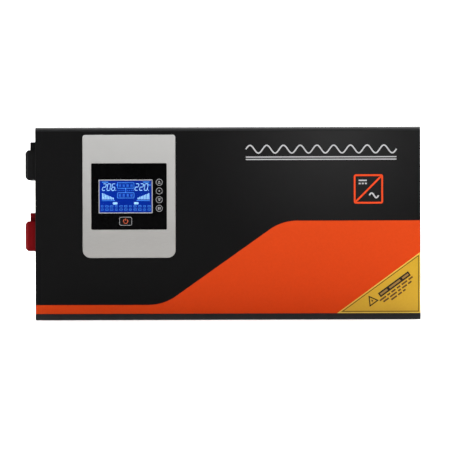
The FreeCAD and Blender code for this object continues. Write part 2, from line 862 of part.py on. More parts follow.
def display_window():
    """The dark window plate, with holes for the keys and a clear area for the screen."""
    body = plate("window_blank", "XZ_Plane", "window_width", "window_height",
                 "bezel_thickness + steel - window_recess", (WINDOW_X, INNER_FRONT, WINDOW_Z))
    fillet(body, "window_corner", "Y")
    through = (f"{WINDOW_FACE} - overcut", f"{INNER_FRONT} + overcut")
    tools = [rod(f"window_{name}_hole", "key_radius + key_gap", "Y", through, (KEY_X, z))
             for name, z in round_keys()]
    tools.append(power_cap("window_power_hole", "key_gap", "bezel_thickness + steel + 2 * overcut",
                           f"{INNER_FRONT} + overcut"))
    tools.append(box("window_lcd_hole", spread(LCD_X, "lcd_width / 2"), through,
                     spread(LCD_Z, "lcd_height / 2")))
    keep("display_window", cut("display_window_solid", body, tools))


def lcd_lens():
    keep("lcd_lens", box("lcd_lens_solid", spread(LCD_X, "lcd_width / 2"), (WINDOW_FACE, INNER_FRONT),
                         spread(LCD_Z, "lcd_height / 2")))


def lcd_module():
    """The screen and its backlight, behind the lens."""
    blank = box("lcd_module_blank", spread(LCD_X, "lcd_width / 2 + lcd_module_border"),
                (INNER_FRONT, f"{INNER_FRONT} + carrier_depth"),
                spread(LCD_Z, "lcd_height / 2 + lcd_module_border"))
    keep("lcd_module", rounded("lcd_module_solid", blank, size("lcd_module_corner"), "Y"))


def key_pocket(name, radius, z):
    """Room in the carrier for a round key's flange and stem."""
    floor = f"{INNER_FRONT} + key_flange_thickness + key_travel + key_gap"
    flange = rod(name + "_pocket", f"{radius} + key_flange + key_gap", "Y",
                 (f"{INNER_FRONT} - overcut", floor), (KEY_X, z))
    guide = rod(name + "_guide", "key_stem + key_gap", "Y",
                (f"{INNER_FRONT} - overcut", f"{INNER_FRONT} + carrier_wall + overcut"), (KEY_X, z))
    return fuse(name + "_room", [flange, guide])


def display_carrier():
    """The moulded frame that holds the screen, the key guides and the display board."""
    wide = "window_width / 2 + ledge"
    tall = "window_height / 2 + ledge"
    blank = box("carrier_blank", spread(WINDOW_X, wide), (INNER_FRONT, f"{INNER_FRONT} + carrier_depth"),
                spread(WINDOW_Z, tall))
    blank = rounded("carrier_round", blank, size("ledge"), "Y")
    hollow = box("carrier_hollow", spread(WINDOW_X, f"{wide} - carrier_rim"),
                 (f"{INNER_FRONT} + carrier_wall", f"{INNER_FRONT} + carrier_depth + overcut"),
                 spread(WINDOW_Z, f"{tall} - carrier_rim"))
    lcd = box("carrier_lcd", spread(LCD_X, "lcd_width / 2 + lcd_module_border + lcd_gap"),
              (f"{INNER_FRONT} - overcut", f"{INNER_FRONT} + carrier_wall + overcut"),
              spread(LCD_Z, "lcd_height / 2 + lcd_module_border + lcd_gap"))
    tools = [hollow, lcd]
    tools += [key_pocket("carrier_" + name, "key_radius", z) for name, z in round_keys()]
    tools.append(power_cap("carrier_power_pocket", "key_flange + key_gap",
                           "key_flange_thickness + key_travel + key_gap + overcut",
                           f"{INNER_FRONT} + key_flange_thickness + key_travel + key_gap"))
    tools.append(rod("carrier_power_guide", "key_stem + key_gap", "Y",
                     (INNER_FRONT, f"{INNER_FRONT} + carrier_wall + overcut"), (LCD_X, POWER_Z)))
    keep("display_carrier", cut("display_carrier_solid", blank, tools))


def display_board():
    low = f"{INNER_FRONT} + carrier_depth"
    keep("display_board", box("display_board_solid", spread(WINDOW_X, "window_width / 2"),
                              (low, f"{low} + board_thickness"), spread(WINDOW_Z, "window_height / 2")))


def key_switches():
    """The five tact switches on the display board, one behind each key."""
    low = f"({INNER_FRONT} + carrier_depth)"
    places = [(name, KEY_X, z) for name, z in round_keys()] + [("power_key", LCD_X, POWER_Z)]
    switches = []
    for name, x, z in places:
        body = box(name + "_switch_body", spread(x, "switch_size / 2"), (f"{low} - switch_height", low),
                   spread(z, "switch_size / 2"))
        plunger = rod(name + "_switch_plunger", "key_stem", "Y",
                      (f"{low} - switch_height - switch_plunger", f"{low} - switch_height"), (x, z))
        switches.append(fuse(name + "_switch", [body, plunger]))
    keep("key_switches", group("key_switch_group", switches))


def key_stem(name, x, z):
    plunger_top = "carrier_depth - switch_height - switch_plunger"
    return rod(name + "_stem", "key_stem", "Y",
               (INNER_FRONT, f"{INNER_FRONT} + {plunger_top} - key_travel - key_gap"), (x, z))


def round_key(name, z):
    """A domed cap, a flange behind the window and a stem to the switch."""
    cap = rod(name + "_cap", "key_radius", "Y",
              (f"{WINDOW_FACE} - key_stand_out", INNER_FRONT), (KEY_X, z))
    DOC.recompute()
    front = min(v.Y for v in cap.Shape.Vertexes)
    eased = DOC.addObject("Part::Fillet", name + "_eased")
    eased.Base = cap
    eased.Edges = [(n, size("key_edge"), size("key_edge")) for n, e in enumerate(cap.Shape.Edges, 1)
                   if e.CenterOfMass.y < front + SAME_PLACE]
    flange = rod(name + "_flange", "key_radius + key_flange", "Y",
                 (INNER_FRONT, f"{INNER_FRONT} + key_flange_thickness"), (KEY_X, z))
    keep(name, fuse(name + "_solid", [eased, flange, key_stem(name, KEY_X, z)]))


def power_key():
    cap = power_cap("power_key_cap", "0", f"{INNER_FRONT} - ({WINDOW_FACE} - key_stand_out)", INNER_FRONT)
    chamfer(cap, "key_edge", "XZ", lambda p: p.y < -size("steel"))
    flange = power_cap("power_key_flange", "key_flange", "key_flange_thickness",
                       f"{INNER_FRONT} + key_flange_thickness")
    keep("power_key", fuse("power_key_solid", [cap, flange, key_stem("power_key", LCD_X, POWER_Z)]))


# ---------------------------------------------------------------- battery end

TERMINAL_Y = f"({FRONT} + terminal_setback)"
NEGATIVE_Z = "(case_height - terminal_top - neck_height - hood_height / 2)"
TERMINALS = {"negative": NEGATIVE_Z, "positive": f"({NEGATIVE_Z} - terminal_pitch)"}
BASE_FACE = f"({DC_FACE} - base_thickness)"
STACK_END = f"({BASE_FACE} - washer_thickness - spring_washer_thickness - stud_nut_height)"
HOOD_FACE = f"({DC_FACE} - panel_recess - hood_reach)"
HINGE_X = f"({BASE_FACE} - hinge_stand)"
HINGE_Y = f"({TERMINAL_Y} + hood_width / 2 + hinge_offset)"
FAN_Y = f"({BACK} - fan_back_margin - fan_size / 2)"
FAN_Z = "fan_height"


def bevelled(name, base, length, where):
    """Chamfers the straight edges whose middle passes a test."""
    DOC.recompute()
    obj = DOC.addObject("Part::Chamfer", name)
    obj.Base = base
    obj.Edges = [(n, length, length) for n in edges_of(base.Shape, "XYZ", where)]
    return obj


# A hinge has three knuckles: the middle one is the cover's, and a gap keeps each outer one off it.
KNUCKLE_NEAR = "knuckle_length / 2"
KNUCKLE_FAR = "3 * knuckle_length / 2 + hinge_end_gap"


def knuckle(name, low, high, z, radius="hinge_barrel"):
    return rod(name, radius, "Z", (f"{z} + {low}", f"{z} + {high}"), (HINGE_X, HINGE_Y))


def knuckle_bore(name, z, radius):
    """The pin's hole, from beyond one end of the hinge to beyond the other."""
    return knuckle(name, f"-({KNUCKLE_FAR} + overcut)", f"{KNUCKLE_FAR} + overcut", z, radius)


def terminal_base(pole, z):
    """The insulating plate, its boss through the wall and the two fixed hinge knuckles."""
    name = pole + "_terminal_base"
    flat = box(name + "_plate", (BASE_FACE, DC_FACE), spread(TERMINAL_Y, "hood_width / 2"),
               spread(z, "hood_height / 2"))
    boss = box(name + "_boss", (DC_FACE, f"{DC_FACE} + boss_depth"), spread(TERMINAL_Y, "boss_width / 2"),
               spread(z, "boss_width / 2"))
    pieces = [flat, boss]
    near, far = f"({KNUCKLE_NEAR} + hinge_end_gap)", f"({KNUCKLE_FAR})"
    for row, low, high in (("low", f"-{far}", f"-{near}"), ("high", near, far)):
        pieces.append(knuckle(f"{name}_{row}_knuckle", low, high, z))
        pieces.append(box(f"{name}_{row}_tab", (BASE_FACE, DC_FACE),
                          (f"{TERMINAL_Y} + hood_width / 2 - overcut", HINGE_Y),
                          (f"{z} + {low}", f"{z} + {high}")))
    through = (f"{BASE_FACE} - overcut", f"{DC_FACE} + boss_depth + overcut")
    tools = [rod(name + "_stud_hole", "stud_shank", "X", through, (TERMINAL_Y, z)),
             knuckle_bore(name + "_pin_hole", z, "hinge_pin")]
    keep(name, cut(name + "_solid", fuse(name + "_blank", pieces), tools))


def hood_form(name, z, wall, rim, bevel, neck_end):
    """The hood's outer or inner form: a box with a bevelled face and the cable neck on its top."""
    face = f"({HOOD_FACE} + {wall})"
    block = box(name + "_block", (face, rim), spread(TERMINAL_Y, f"hood_width / 2 - {wall}"),
                spread(z, f"hood_height / 2 - {wall}"))
    DOC.recompute()
    edge = block.Shape.BoundBox.XMin
    block = bevelled(name + "_bevels", block, size(bevel), lambda p: abs(p.x - edge) < SAME_PLACE)
    top = f"{z} + hood_height / 2"
    neck = box(name + "_neck", (f"{BASE_FACE} - neck_reach + {wall}", rim),
               spread(TERMINAL_Y, f"neck_width / 2 - {wall}"),
               (f"{top} - 2 * hood_bevel", f"{top} + neck_height + {neck_end}"))
    return fuse(name + "_form", [block, neck])


def terminal_cover(pole, z):
    """The hood over a battery stud, on its hinge knuckle, open below its neck for the cable."""
    name = pole + "_terminal_cover"
    rim = f"({BASE_FACE} - hood_rim_gap)"
    outer = hood_form(name + "_outer", z, "0", rim, "hood_bevel", "0")
    inner = hood_form(name + "_inner", z, "hood_wall", f"({rim} + overcut)", "hood_inner_bevel", "overcut")
    shell = cut(name + "_shell", outer, [inner])
    middle = (f"-{KNUCKLE_NEAR}", KNUCKLE_NEAR)
    tab = box(name + "_tab", (f"{HINGE_X} - hinge_barrel", f"{HINGE_X} - hinge_tab_gap"),
              (f"{TERMINAL_Y} + hood_width / 2 - hood_wall / 2", HINGE_Y),
              (f"{z} + {middle[0]}", f"{z} + {middle[1]}"))
    blank = fuse(name + "_blank", [shell, tab, knuckle(name + "_knuckle", *middle, z)])
    bore = knuckle_bore(name + "_bore", z, "hinge_pin + hinge_run_gap")
    keep(name, cut(name + "_solid", blank, [bore]))


def nut(name, flats, bore, axis, span, centre):
    return ringed(name, hexagon(name + "_hex", flats, axis, span, centre), bore, axis, span, centre)


def washer(name, radius, bore, axis, span, centre):
    return ringed(name, rod(name + "_disc", radius, axis, span, centre), bore, axis, span, centre)


def terminal_stack(pole, at):
    """The washer, spring washer and nut outside the base, and the nut behind the busbar."""
    bore = "stud_shank"
    flat_end = f"({BASE_FACE} - washer_thickness)"
    spring_end = f"({flat_end} - spring_washer_thickness)"
    inner = f"({DC_FACE} + boss_depth + busbar_thickness)"
    return [
        washer(pole + "_washer", "washer_radius", bore, "X", (flat_end, BASE_FACE), at),
        washer(pole + "_spring_washer", "spring_washer_radius", bore, "X", (spring_end, flat_end), at),
        nut(pole + "_nut", "stud_nut_flats", bore, "X", (STACK_END, spring_end), at),
        nut(pole + "_inner_nut", "stud_nut_flats", bore, "X", (inner, f"{inner} + stud_nut_height"), at),
    ]


def terminal_hardware():
    """The battery studs, what is threaded on them, and the hinge pins of their covers."""
    studs, stacks, pins = [], [], []
    for pole, z in TERMINALS.items():
        at = (TERMINAL_Y, z)
        tip = f"({BASE_FACE} - stud_outside)"
        shank = rod(pole + "_stud_shank", "stud_shank", "X", (tip, f"{BASE_FACE} + stud_inside"), at)
        free_end = rod(pole + "_stud_end", "stud_radius", "X", (tip, STACK_END), at)
        studs.append(fuse(pole + "_stud", [shank, free_end]))
        stacks += terminal_stack(pole, at)
        pins.append(knuckle(pole + "_hinge_pin", f"-({KNUCKLE_FAR})", KNUCKLE_FAR, z, "hinge_pin"))
    keep("terminal_studs", group("terminal_stud_group", studs))
    keep("terminal_nuts", group("terminal_nut_group", stacks))
    keep("terminal_hinge_pins", group("terminal_pin_group", pins))


BOARD_LEFT = f"({DC_FACE} + steel + fan_thickness + power_board_gap)"
BOARD_FACE = f"({INNER_BACK} - standoff - board_thickness)"


def busbar(pole, z):
    """The copper strip from a stud, round the fan, to its foot on the power board."""
    name = pole + "_busbar"
    width = spread(z, "busbar_width / 2")
    inner = f"({DC_FACE} + boss_depth)"
    turn = f"({TERMINAL_Y} + busbar_width / 2 + busbar_clear)"
    drop = f"({BOARD_LEFT} + busbar_board_inset)"
    lug = (inner, f"{inner} + busbar_thickness")
    after_turn, after_drop = f"{turn} + busbar_thickness", f"{drop} + busbar_thickness"
    pieces = [
        box(name + "_lug", lug, (f"{TERMINAL_Y} - busbar_width / 2", after_turn), width),
        box(name + "_run", (inner, after_drop), (turn, after_turn), width),
        box(name + "_drop", (drop, after_drop), (turn, BOARD_FACE), width),
        box(name + "_foot", (drop, f"{drop} + busbar_foot"),
            (f"{BOARD_FACE} - busbar_thickness", BOARD_FACE), width),
    ]
    return ringed(name, fuse(name + "_blank", pieces), "stud_shank", "X", lug, (TERMINAL_Y, z))


def inlet_slots():
    """A row of upright slots low in the battery end."""
    slots = []
    steps = int((size("case_depth") - 2 * size("slot_setback")) // size("slot_pitch"))
    for n in range(steps + 1):
        y = f"({FRONT} + slot_setback + {n} * slot_pitch)"
        slots.append(box(f"inlet_slot_{n}", inward(DC_FACE, -1, "-overcut", "steel + overcut"),
                         spread(y, "slot_width / 2"), ("slot_bottom", "slot_bottom + slot_height")))
    return slots


# ---------------------------------------------------------------- fans

FAN_BORE = "(fan_size / 2 - fan_wall)"
FAN_PITCH = "(fan_size - 2 * fan_hole_inset)"
FAN_OPENING = "(fan_size / 2 - fan_opening_inset)"
X_AXIS = FreeCAD.Vector(1, 0, 0)


def fan_corners(name):
    half = f"{FAN_PITCH} / 2"
    return [(f"{name}_{n}", f"{FAN_Y} + {a} * {half}", f"{FAN_Z} + {b} * {half}")
            for n, (a, b) in enumerate(SQUARE)]


def fan_panel_cuts(side):
    """The round opening and the screw holes that a fan needs in its wall."""
    sign = OUTWARD[side]
    span = inward(END_FACE[side], sign, "-overcut", "steel + overcut")
    tools = [rod(side + "_fan_opening", FAN_OPENING, "X", span, (FAN_Y, FAN_Z))]
    for name, y, z in fan_corners(side + "_fan_panel_hole"):
        tools.append(rod(name, "fan_hole_radius", "X", span, (y, z)))
    return tools


def fan_frame(side):
    """The square frame, waisted to a round duct between its flanges, with the motor's seat on struts."""
    sign = OUTWARD[side]
    inner = f"({END_FACE[side]} - {sign} * steel)"
    name = side + "_fan_frame"
    full = inward(inner, sign, "0", "fan_thickness")
    beyond = inward(inner, sign, "-overcut", "fan_thickness + overcut")
    waist = inward(inner, sign, "fan_flange", "fan_thickness - fan_flange")
    at = (FAN_Y, FAN_Z)
    half = "fan_size / 2"
    blank = box(name + "_blank", full, spread(FAN_Y, half), spread(FAN_Z, half))
    blank = rounded(name + "_round", blank, size("fan_corner"), "X")
    beside = half + " + overcut"
    around = box(name + "_around", waist, spread(FAN_Y, beside), spread(FAN_Z, beside))
    duct = rod(name + "_duct", FAN_BORE + " + fan_duct_wall", "X", waist, at)
    tools = [cut(name + "_waist", around, [duct]), rod(name + "_bore", FAN_BORE, "X", beyond, at)]
    tools += [rod(n, "fan_hole_radius", "X", beyond, (y, z)) for n, y, z in fan_corners(name + "_hole")]
    seat_span = inward(inner, sign, "fan_thickness - fan_base_thickness", "fan_thickness")
    long, wide = FAN_BORE + " + fan_duct_wall / 2", "fan_strut / 2"
    pieces = [
        cut(name + "_shell", blank, tools),
        rod(name + "_seat", "fan_hub", "X", seat_span, at),
        box(name + "_strut_y", seat_span, spread(FAN_Y, long), spread(FAN_Z, wide)),
        box(name + "_strut_z", seat_span, spread(FAN_Y, wide), spread(FAN_Z, long)),
    ]
    hole = rod(name + "_shaft_hole", "fan_shaft + hinge_run_gap", "X", beyond, at)
    keep(name, cut(name + "_solid", fuse(name + "_with_seat", pieces), [hole]))


def rotor_depth():
    """How deep the hub and its blades are, between the end gaps."""
    return size("fan_thickness") - size("fan_base_thickness") - 2 * size("fan_end_gap")


def blade(turn):
    """One fan blade about the X axis: steep at its root, flatter at its tip."""
    depth = rotor_depth()
    root = size("fan_hub") - size("fan_root_sink")
    tip = size("fan_size") / 2 - size("fan_wall") - size("fan_tip_gap")
    thick = size("fan_blade_thickness") / 2
    sections = []
    for radius, angle in ((root, size("fan_root_angle")), (tip, size("fan_tip_angle"))):
        half = min(depth / 2 / math.cos(math.radians(angle)), size("fan_blade_chord") / 2)
        spin = FreeCAD.Placement(FreeCAD.Vector(depth / 2, 0, radius),
                                 FreeCAD.Rotation(FreeCAD.Vector(0, 0, 1), angle))
        corners = [spin.multVec(FreeCAD.Vector(a * half, b * thick, 0)) for a, b in SQUARE]
        sections.append(Part.makePolygon(corners + corners[:1]))
    shape = Part.makeLoft(sections, True, True)
    shape.rotate(FreeCAD.Vector(), X_AXIS, turn)
    return shape


def fan_rotor(side):
    """The hub cup with blades and shaft, built along +X from its outer face and turned to suit the wall."""
    sign = OUTWARD[side]
    depth = rotor_depth()
    hub = Part.makeCylinder(size("fan_hub"), depth, FreeCAD.Vector(), X_AXIS)
    front_edges = [e for e in hub.Edges if abs(e.CenterOfMass.x) < SAME_PLACE]
    hub = hub.makeFillet(size("fan_hub_skirt"), front_edges)
    start = FreeCAD.Vector(size("fan_end_gap"), 0, 0)
    shaft = Part.makeCylinder(size("fan_shaft"), depth + size("fan_base_thickness"), start, X_AXIS)
    blades = [blade(360 * n / count("fan_blades")) for n in range(count("fan_blades"))]
    obj = DOC.addObject("Part::Feature", side + "_fan_rotor_solid")
    obj.Shape = hub.fuse([shaft] + blades).removeSplitter()
    if sign > 0:
        obj.Placement = FreeCAD.Placement(FreeCAD.Vector(), FreeCAD.Rotation(FreeCAD.Vector(0, 0, 1), 180))
    place(obj, f"{END_FACE[side]} - {sign} * (steel + fan_end_gap)", FAN_Y, FAN_Z)
    keep(side + "_fan_rotor", obj)


def fan_guard(side):
    """A wire guard: rings on two crossed wires that end in the screws' eyes."""
    sign = OUTWARD[side]
    level = f"({END_FACE[side]} + {sign} * guard_wire)"
    name = side + "_fan_guard"
    pieces = []
    for n in range(count("guard_rings")):
        pieces.append(ring(f"{name}_ring_{n}", f"{FAN_OPENING} - {n} * guard_ring_step", "guard_wire", "X",
                           level, (FAN_Y, FAN_Z)))
    for eye, y, z in fan_corners(name + "_eye"):
        pieces.append(ring(eye, "guard_eye", "guard_wire", "X", level, (y, z)))
    reach = f"({FAN_PITCH} / 2 - guard_eye / sqrt(2))"
    for n, way in enumerate((1, -1)):
        wire = DOC.addObject("Part::Cylinder", f"{name}_wire_{n}")
        tilt = FreeCAD.Rotation(X_AXIS, way * size("guard_tilt"))
        wire.Placement = FreeCAD.Placement(FreeCAD.Vector(), tilt)
        bind(wire, "Radius", "guard_wire")
        bind(wire, "Height", f"{FAN_PITCH} * sqrt(2) - 2 * guard_eye")
        place(wire, level, f"{FAN_Y} + {way} * {reach}", f"{FAN_Z} - {reach}")
        pieces.append(wire)
    keep(name, fuse(name + "_solid", pieces))


def fan_screws():
    screws = []
    for side, sign in OUTWARD.items():
        top = f"({END_FACE[side]} + {sign} * 2 * guard_wire)"
        for name, y, z in fan_corners(side + "_fan_screw"):
            screws.append(pan_screw(name, "X", sign, top, (y, z), "fan_screw_length", "fan_screw_radius",
                                    "fan_screw_head", "fan_screw_head_height"))
    keep("fan_screws", group("fan_screw_group", screws))


def dc_panel_cuts():
    """Openings in the battery end: the fan, the inlet slots and the terminals' bosses."""
    tools = fan_panel_cuts("dc") + inlet_slots()
    span = inward(DC_FACE, -1, "-overcut", "steel + overcut")
    for pole, z in TERMINALS.items():
        tools.append(box(pole + "_boss_hole", span, spread(TERMINAL_Y, "boss_width / 2"),
                         spread(z, "boss_width / 2")))
    return tools


# ---------------------------------------------------------------- mains end

OUTLET_Y = f"({FRONT} + outlet_setback + outlet_size / 2)"
OUTLETS = {"lower": "(outlet_low)", "upper": "(outlet_low + outlet_pitch)"}
BLOCK_HALF = "(pole_count * pole_pitch / 2 + block_end)"
BLOCK_Y = f"({BACK} - block_back_margin - {BLOCK_HALF})"
BLOCK_TOP = "(block_bottom + block_height)"
CLAMP_Z = f"({BLOCK_TOP} - block_roof - clamp_plate / 2 - clamp_drop)"
FLAP_X = f"({AC_FACE} + block_out + flap_gap - flap_tuck)"
FLAP_Z = f"({BLOCK_TOP} + flap_lift)"
BREAKER_AT = (f"({FRONT} + breaker_setback)", "breaker_height")
PORT_Y = f"({FRONT} + port_setback)"
EARTH_AT = (f"({BACK} - earth_back_margin)", "earth_height")


def outlet(level, z):
    """A flush socket: a square rim, a round well, and two contact holes through its floor."""
    name = level + "_outlet"
    rim = plate(name + "_rim", "YZ_Plane", "outlet_size", "outlet_size", "outlet_rim",
                (AC_FACE, OUTLET_Y, z))
    fillet(rim, "outlet_rim_corner", "X")
    chamfer(rim, "outlet_rim_edge", "YZ", lambda p: p.x > size("outlet_rim") / 2)
    face = f"({AC_FACE} + outlet_rim)"
    floor = f"({face} - outlet_well_depth)"
    back = f"({floor} - outlet_back_wall)"
    at = (OUTLET_Y, z)
    barrel = rod(name + "_barrel", "outlet_barrel", "X", (back, AC_FACE), at)
    tools = [rod(name + "_well", "outlet_well", "X", (floor, f"{face} + overcut"), at)]
    for n in (-1, 1):
        tools.append(rod(f"{name}_contact_{n + 1}", "outlet_pin_hole", "X", (f"{back} - overcut", face),
                         (f"{OUTLET_Y} + {n} * outlet_pin_spacing / 2", z)))
    keep(name, cut(name + "_solid", fuse(name + "_blank", [rim, barrel]), tools))


def outlet_earth_clips():
    """The sprung earth strips at the top and bottom of each well."""
    clips = []
    floor = f"({AC_FACE} + outlet_rim - outlet_well_depth)"
    for level, z in OUTLETS.items():
        for n in (-1, 1):
            wall = f"({z} + {n} * sqrt(outlet_well ^ 2 - outlet_clip_width ^ 2 / 4))"
            stand = f"({wall} - {n} * outlet_clip_stand)"
            z_span = (stand, wall) if n > 0 else (wall, stand)
            clips.append(box(f"{level}_clip_{n + 1}", (floor, f"{floor} + outlet_clip_length"),
                             spread(OUTLET_Y, "outlet_clip_width / 2"), z_span))
    keep("outlet_earth_clips", group("outlet_clip_group", clips))


def poles():
    """The number and the Y of each pole of the block."""
    first = f"{BLOCK_Y} - {BLOCK_HALF} + block_end + pole_pitch / 2"
    return [(n, f"({first} + {n} * pole_pitch)") for n in range(count("pole_count"))]


def mains_terminal_block():
    """The barrier block: one channel per pole, open outwards and below, and two lugs for the flap."""
    name = "mains_terminal_block"
    out = f"({AC_FACE} + block_out)"
    blank = box(name + "_blank", (f"{AC_FACE} - block_in", out), spread(BLOCK_Y, BLOCK_HALF),
                ("block_bottom", BLOCK_TOP))
    pieces, tools = [blank], []
    for n in (-1, 1):
        y = f"({BLOCK_Y} + {n} * ({BLOCK_HALF} - flap_lug / 2))"
        pieces.append(box(f"{name}_lug_{n + 1}", (f"{out} - 2 * flap_barrel", f"{FLAP_X} + flap_barrel"),
                          spread(y, "flap_lug / 2"), (f"{BLOCK_TOP} - overcut", f"{FLAP_Z} + flap_barrel")))
    for n, y in poles():
        floor = f"{out} - block_channel"
        tools.append(box(f"{name}_channel_{n}", (floor, f"{out} + overcut"), spread(y, "pole_width / 2"),
                         ("block_bottom - overcut", f"{BLOCK_TOP} - block_roof")))
        tools.append(rod(f"{name}_screw_room_{n}", "clamp_screw_radius", "X",
                         (f"{floor} - clamp_screw_length", f"{floor} + overcut"), (y, CLAMP_Z)))
    tools.append(rod(name + "_trunnion_hole", "flap_trunnion + hinge_run_gap", "Y",
                     spread(BLOCK_Y, f"{BLOCK_HALF} + overcut"), (FLAP_X, FLAP_Z)))
    keep(name, cut(name + "_solid", fuse(name + "_body", pieces), tools))


def mains_clamps():
    """A pressure plate and its screw in each channel."""
    plates, screws = [], []
    floor = f"({AC_FACE} + block_out - block_channel)"
    for n, y in poles():
        span = (floor, f"{floor} + clamp_plate_thickness")
        blank = box(f"clamp_plate_{n}", span, spread(y, "clamp_plate / 2"),
                    spread(CLAMP_Z, "clamp_plate / 2"))
        plates.append(ringed(f"clamp_plate_bored_{n}", blank, "clamp_screw_radius", "X", span, (y, CLAMP_Z)))
        screws.append(pan_screw(f"clamp_screw_{n}", "X", 1, f"({span[1]})", (y, CLAMP_Z),
                                "clamp_screw_length", "clamp_screw_radius", "clamp_screw_head",
                                "clamp_screw_head_height"))
    keep("mains_clamp_plates", group("clamp_plate_group", plates))
    keep("mains_clamp_screws", group("clamp_screw_group", screws))


def mains_terminal_flap():
    """The clear flap that hangs over the block from its barrel, with a trunnion in each lug."""
    name = "mains_terminal_flap"
    half = f"({BLOCK_HALF} - flap_lug - hinge_end_gap)"
    outer = f"({FLAP_X} + flap_barrel)"
    sheet = box(name + "_sheet", (f"{outer} - flap_thickness", outer), spread(BLOCK_Y, half),
                ("block_bottom - flap_overhang", FLAP_Z))
    barrel = rod(name + "_barrel", "flap_barrel", "Y", spread(BLOCK_Y, half), (FLAP_X, FLAP_Z))
    trunnion = rod(name + "_trunnion", "flap_trunnion", "Y", spread(BLOCK_Y, BLOCK_HALF),
                   (FLAP_X, FLAP_Z))
    keep(name, fuse(name + "_solid", [sheet, barrel, trunnion]))


def breaker():
    """A push-to-reset breaker: body inside, threaded neck and nut outside, and the button in the neck."""
    face = AC_FACE
    inner = f"({face} - steel)"
    y, z = BREAKER_AT
    body = box("breaker_case", (f"{inner} - breaker_body_depth", inner), spread(y, "breaker_body_width / 2"),
               spread(z, "breaker_body_height / 2"))
    neck = rod("breaker_neck", "breaker_neck", "X", (f"{inner} - overcut", f"{face} + breaker_neck_out"),
               BREAKER_AT)
    bore = rod("breaker_bore", "breaker_button + breaker_button_gap", "X",
               (f"{inner} - breaker_button_root", f"{face} + breaker_neck_out + overcut"), BREAKER_AT)
    keep("breaker_body", cut("breaker_body_solid", fuse("breaker_blank", [body, neck]), [bore]))
    span = (face, f"{face} + breaker_nut_height")
    keep("breaker_nut", nut("breaker_nut_solid", "breaker_nut_flats", "breaker_neck", "X", span, BREAKER_AT))
    root = f"{inner} - breaker_button_root + breaker_button_gap"
    button = rod("breaker_button_blank", "breaker_button", "X", (root, f"{face} + breaker_button_out"),
                 BREAKER_AT)
    DOC.recompute()
    outer = max(v.X for v in button.Shape.Vertexes)
    soft = size("breaker_button_edge")
    eased = DOC.addObject("Part::Fillet", "breaker_button_solid")
    eased.Base = button
    eased.Edges = [(n, soft, soft) for n, e in enumerate(button.Shape.Edges, 1)
                   if e.CenterOfMass.x > outer - SAME_PLACE]
    keep("breaker_button", eased)


def data_port():
    """An eight-way jack with a lip outside the wall and a keyed opening."""
    z = "port_height"
    housing = box("port_housing", (f"{AC_FACE} - port_depth", AC_FACE), spread(PORT_Y, "port_width / 2"),
                  spread(z, "port_tall / 2"))
    lip = box("port_lip", (AC_FACE, f"{AC_FACE} + port_lip"), spread(PORT_Y, "port_width / 2 + port_lip"),
              spread(z, "port_tall / 2 + port_lip"))
    span = (f"{AC_FACE} - port_depth + port_wall", f"{AC_FACE} + port_lip + overcut")
    hole = box("port_hole", span, spread(PORT_Y, "port_hole_width / 2"), spread(z, "port_hole_height / 2"))
    key = box("port_key", span, spread(PORT_Y, "port_key_width / 2"),
              (f"{z} - port_hole_height / 2 - port_key_height", z))
    keep("data_port", cut("data_port_solid", fuse("port_blank", [housing, lip]), [hole, key]))


def earth_stud():
    """The chassis earth: a stud through the wall with a nut on each side and a washer outside."""
    tip = f"({AC_FACE} + earth_out)"
    washer_end = f"({AC_FACE} + earth_washer_thickness)"
    nut_end = f"({washer_end} + earth_nut_height)"
    wall = f"({AC_FACE} - steel)"
    shank = rod("earth_stud_shank", "earth_shank", "X", (f"{wall} - earth_in", tip), EARTH_AT)
    free_end = rod("earth_stud_end", "earth_radius", "X", (nut_end, tip), EARTH_AT)
    keep("earth_stud", fuse("earth_stud_solid", [shank, free_end]))
    keep("earth_nuts", group("earth_nut_group", [
        washer("earth_washer", "earth_washer", "earth_shank", "X", (AC_FACE, washer_end), EARTH_AT),
        nut("earth_outer_nut", "earth_nut_flats", "earth_shank", "X", (washer_end, nut_end), EARTH_AT),
        nut("earth_inner_nut", "earth_nut_flats", "earth_shank", "X", (f"{wall} - earth_nut_height", wall),
            EARTH_AT),
    ]))


def ac_panel_cuts():
    """Openings in the mains end, each cut to the piece that it holds."""
    span = inward(AC_FACE, 1, "-overcut", "steel + overcut")
    tools = fan_panel_cuts("ac")
    for level, z in OUTLETS.items():
        tools.append(rod(level + "_outlet_hole", "outlet_barrel", "X", span, (OUTLET_Y, z)))
    tools.append(box("block_hole", span, spread(BLOCK_Y, BLOCK_HALF), ("block_bottom", BLOCK_TOP)))
    tools.append(rod("breaker_hole", "breaker_neck", "X", span, BREAKER_AT))
    tools.append(box("port_opening", span, spread(PORT_Y, "port_width / 2"),
                     spread("port_height", "port_tall / 2")))
    tools.append(rod("earth_hole", "earth_shank", "X", span, EARTH_AT))
    return tools


# ---------------------------------------------------------------- power electronics


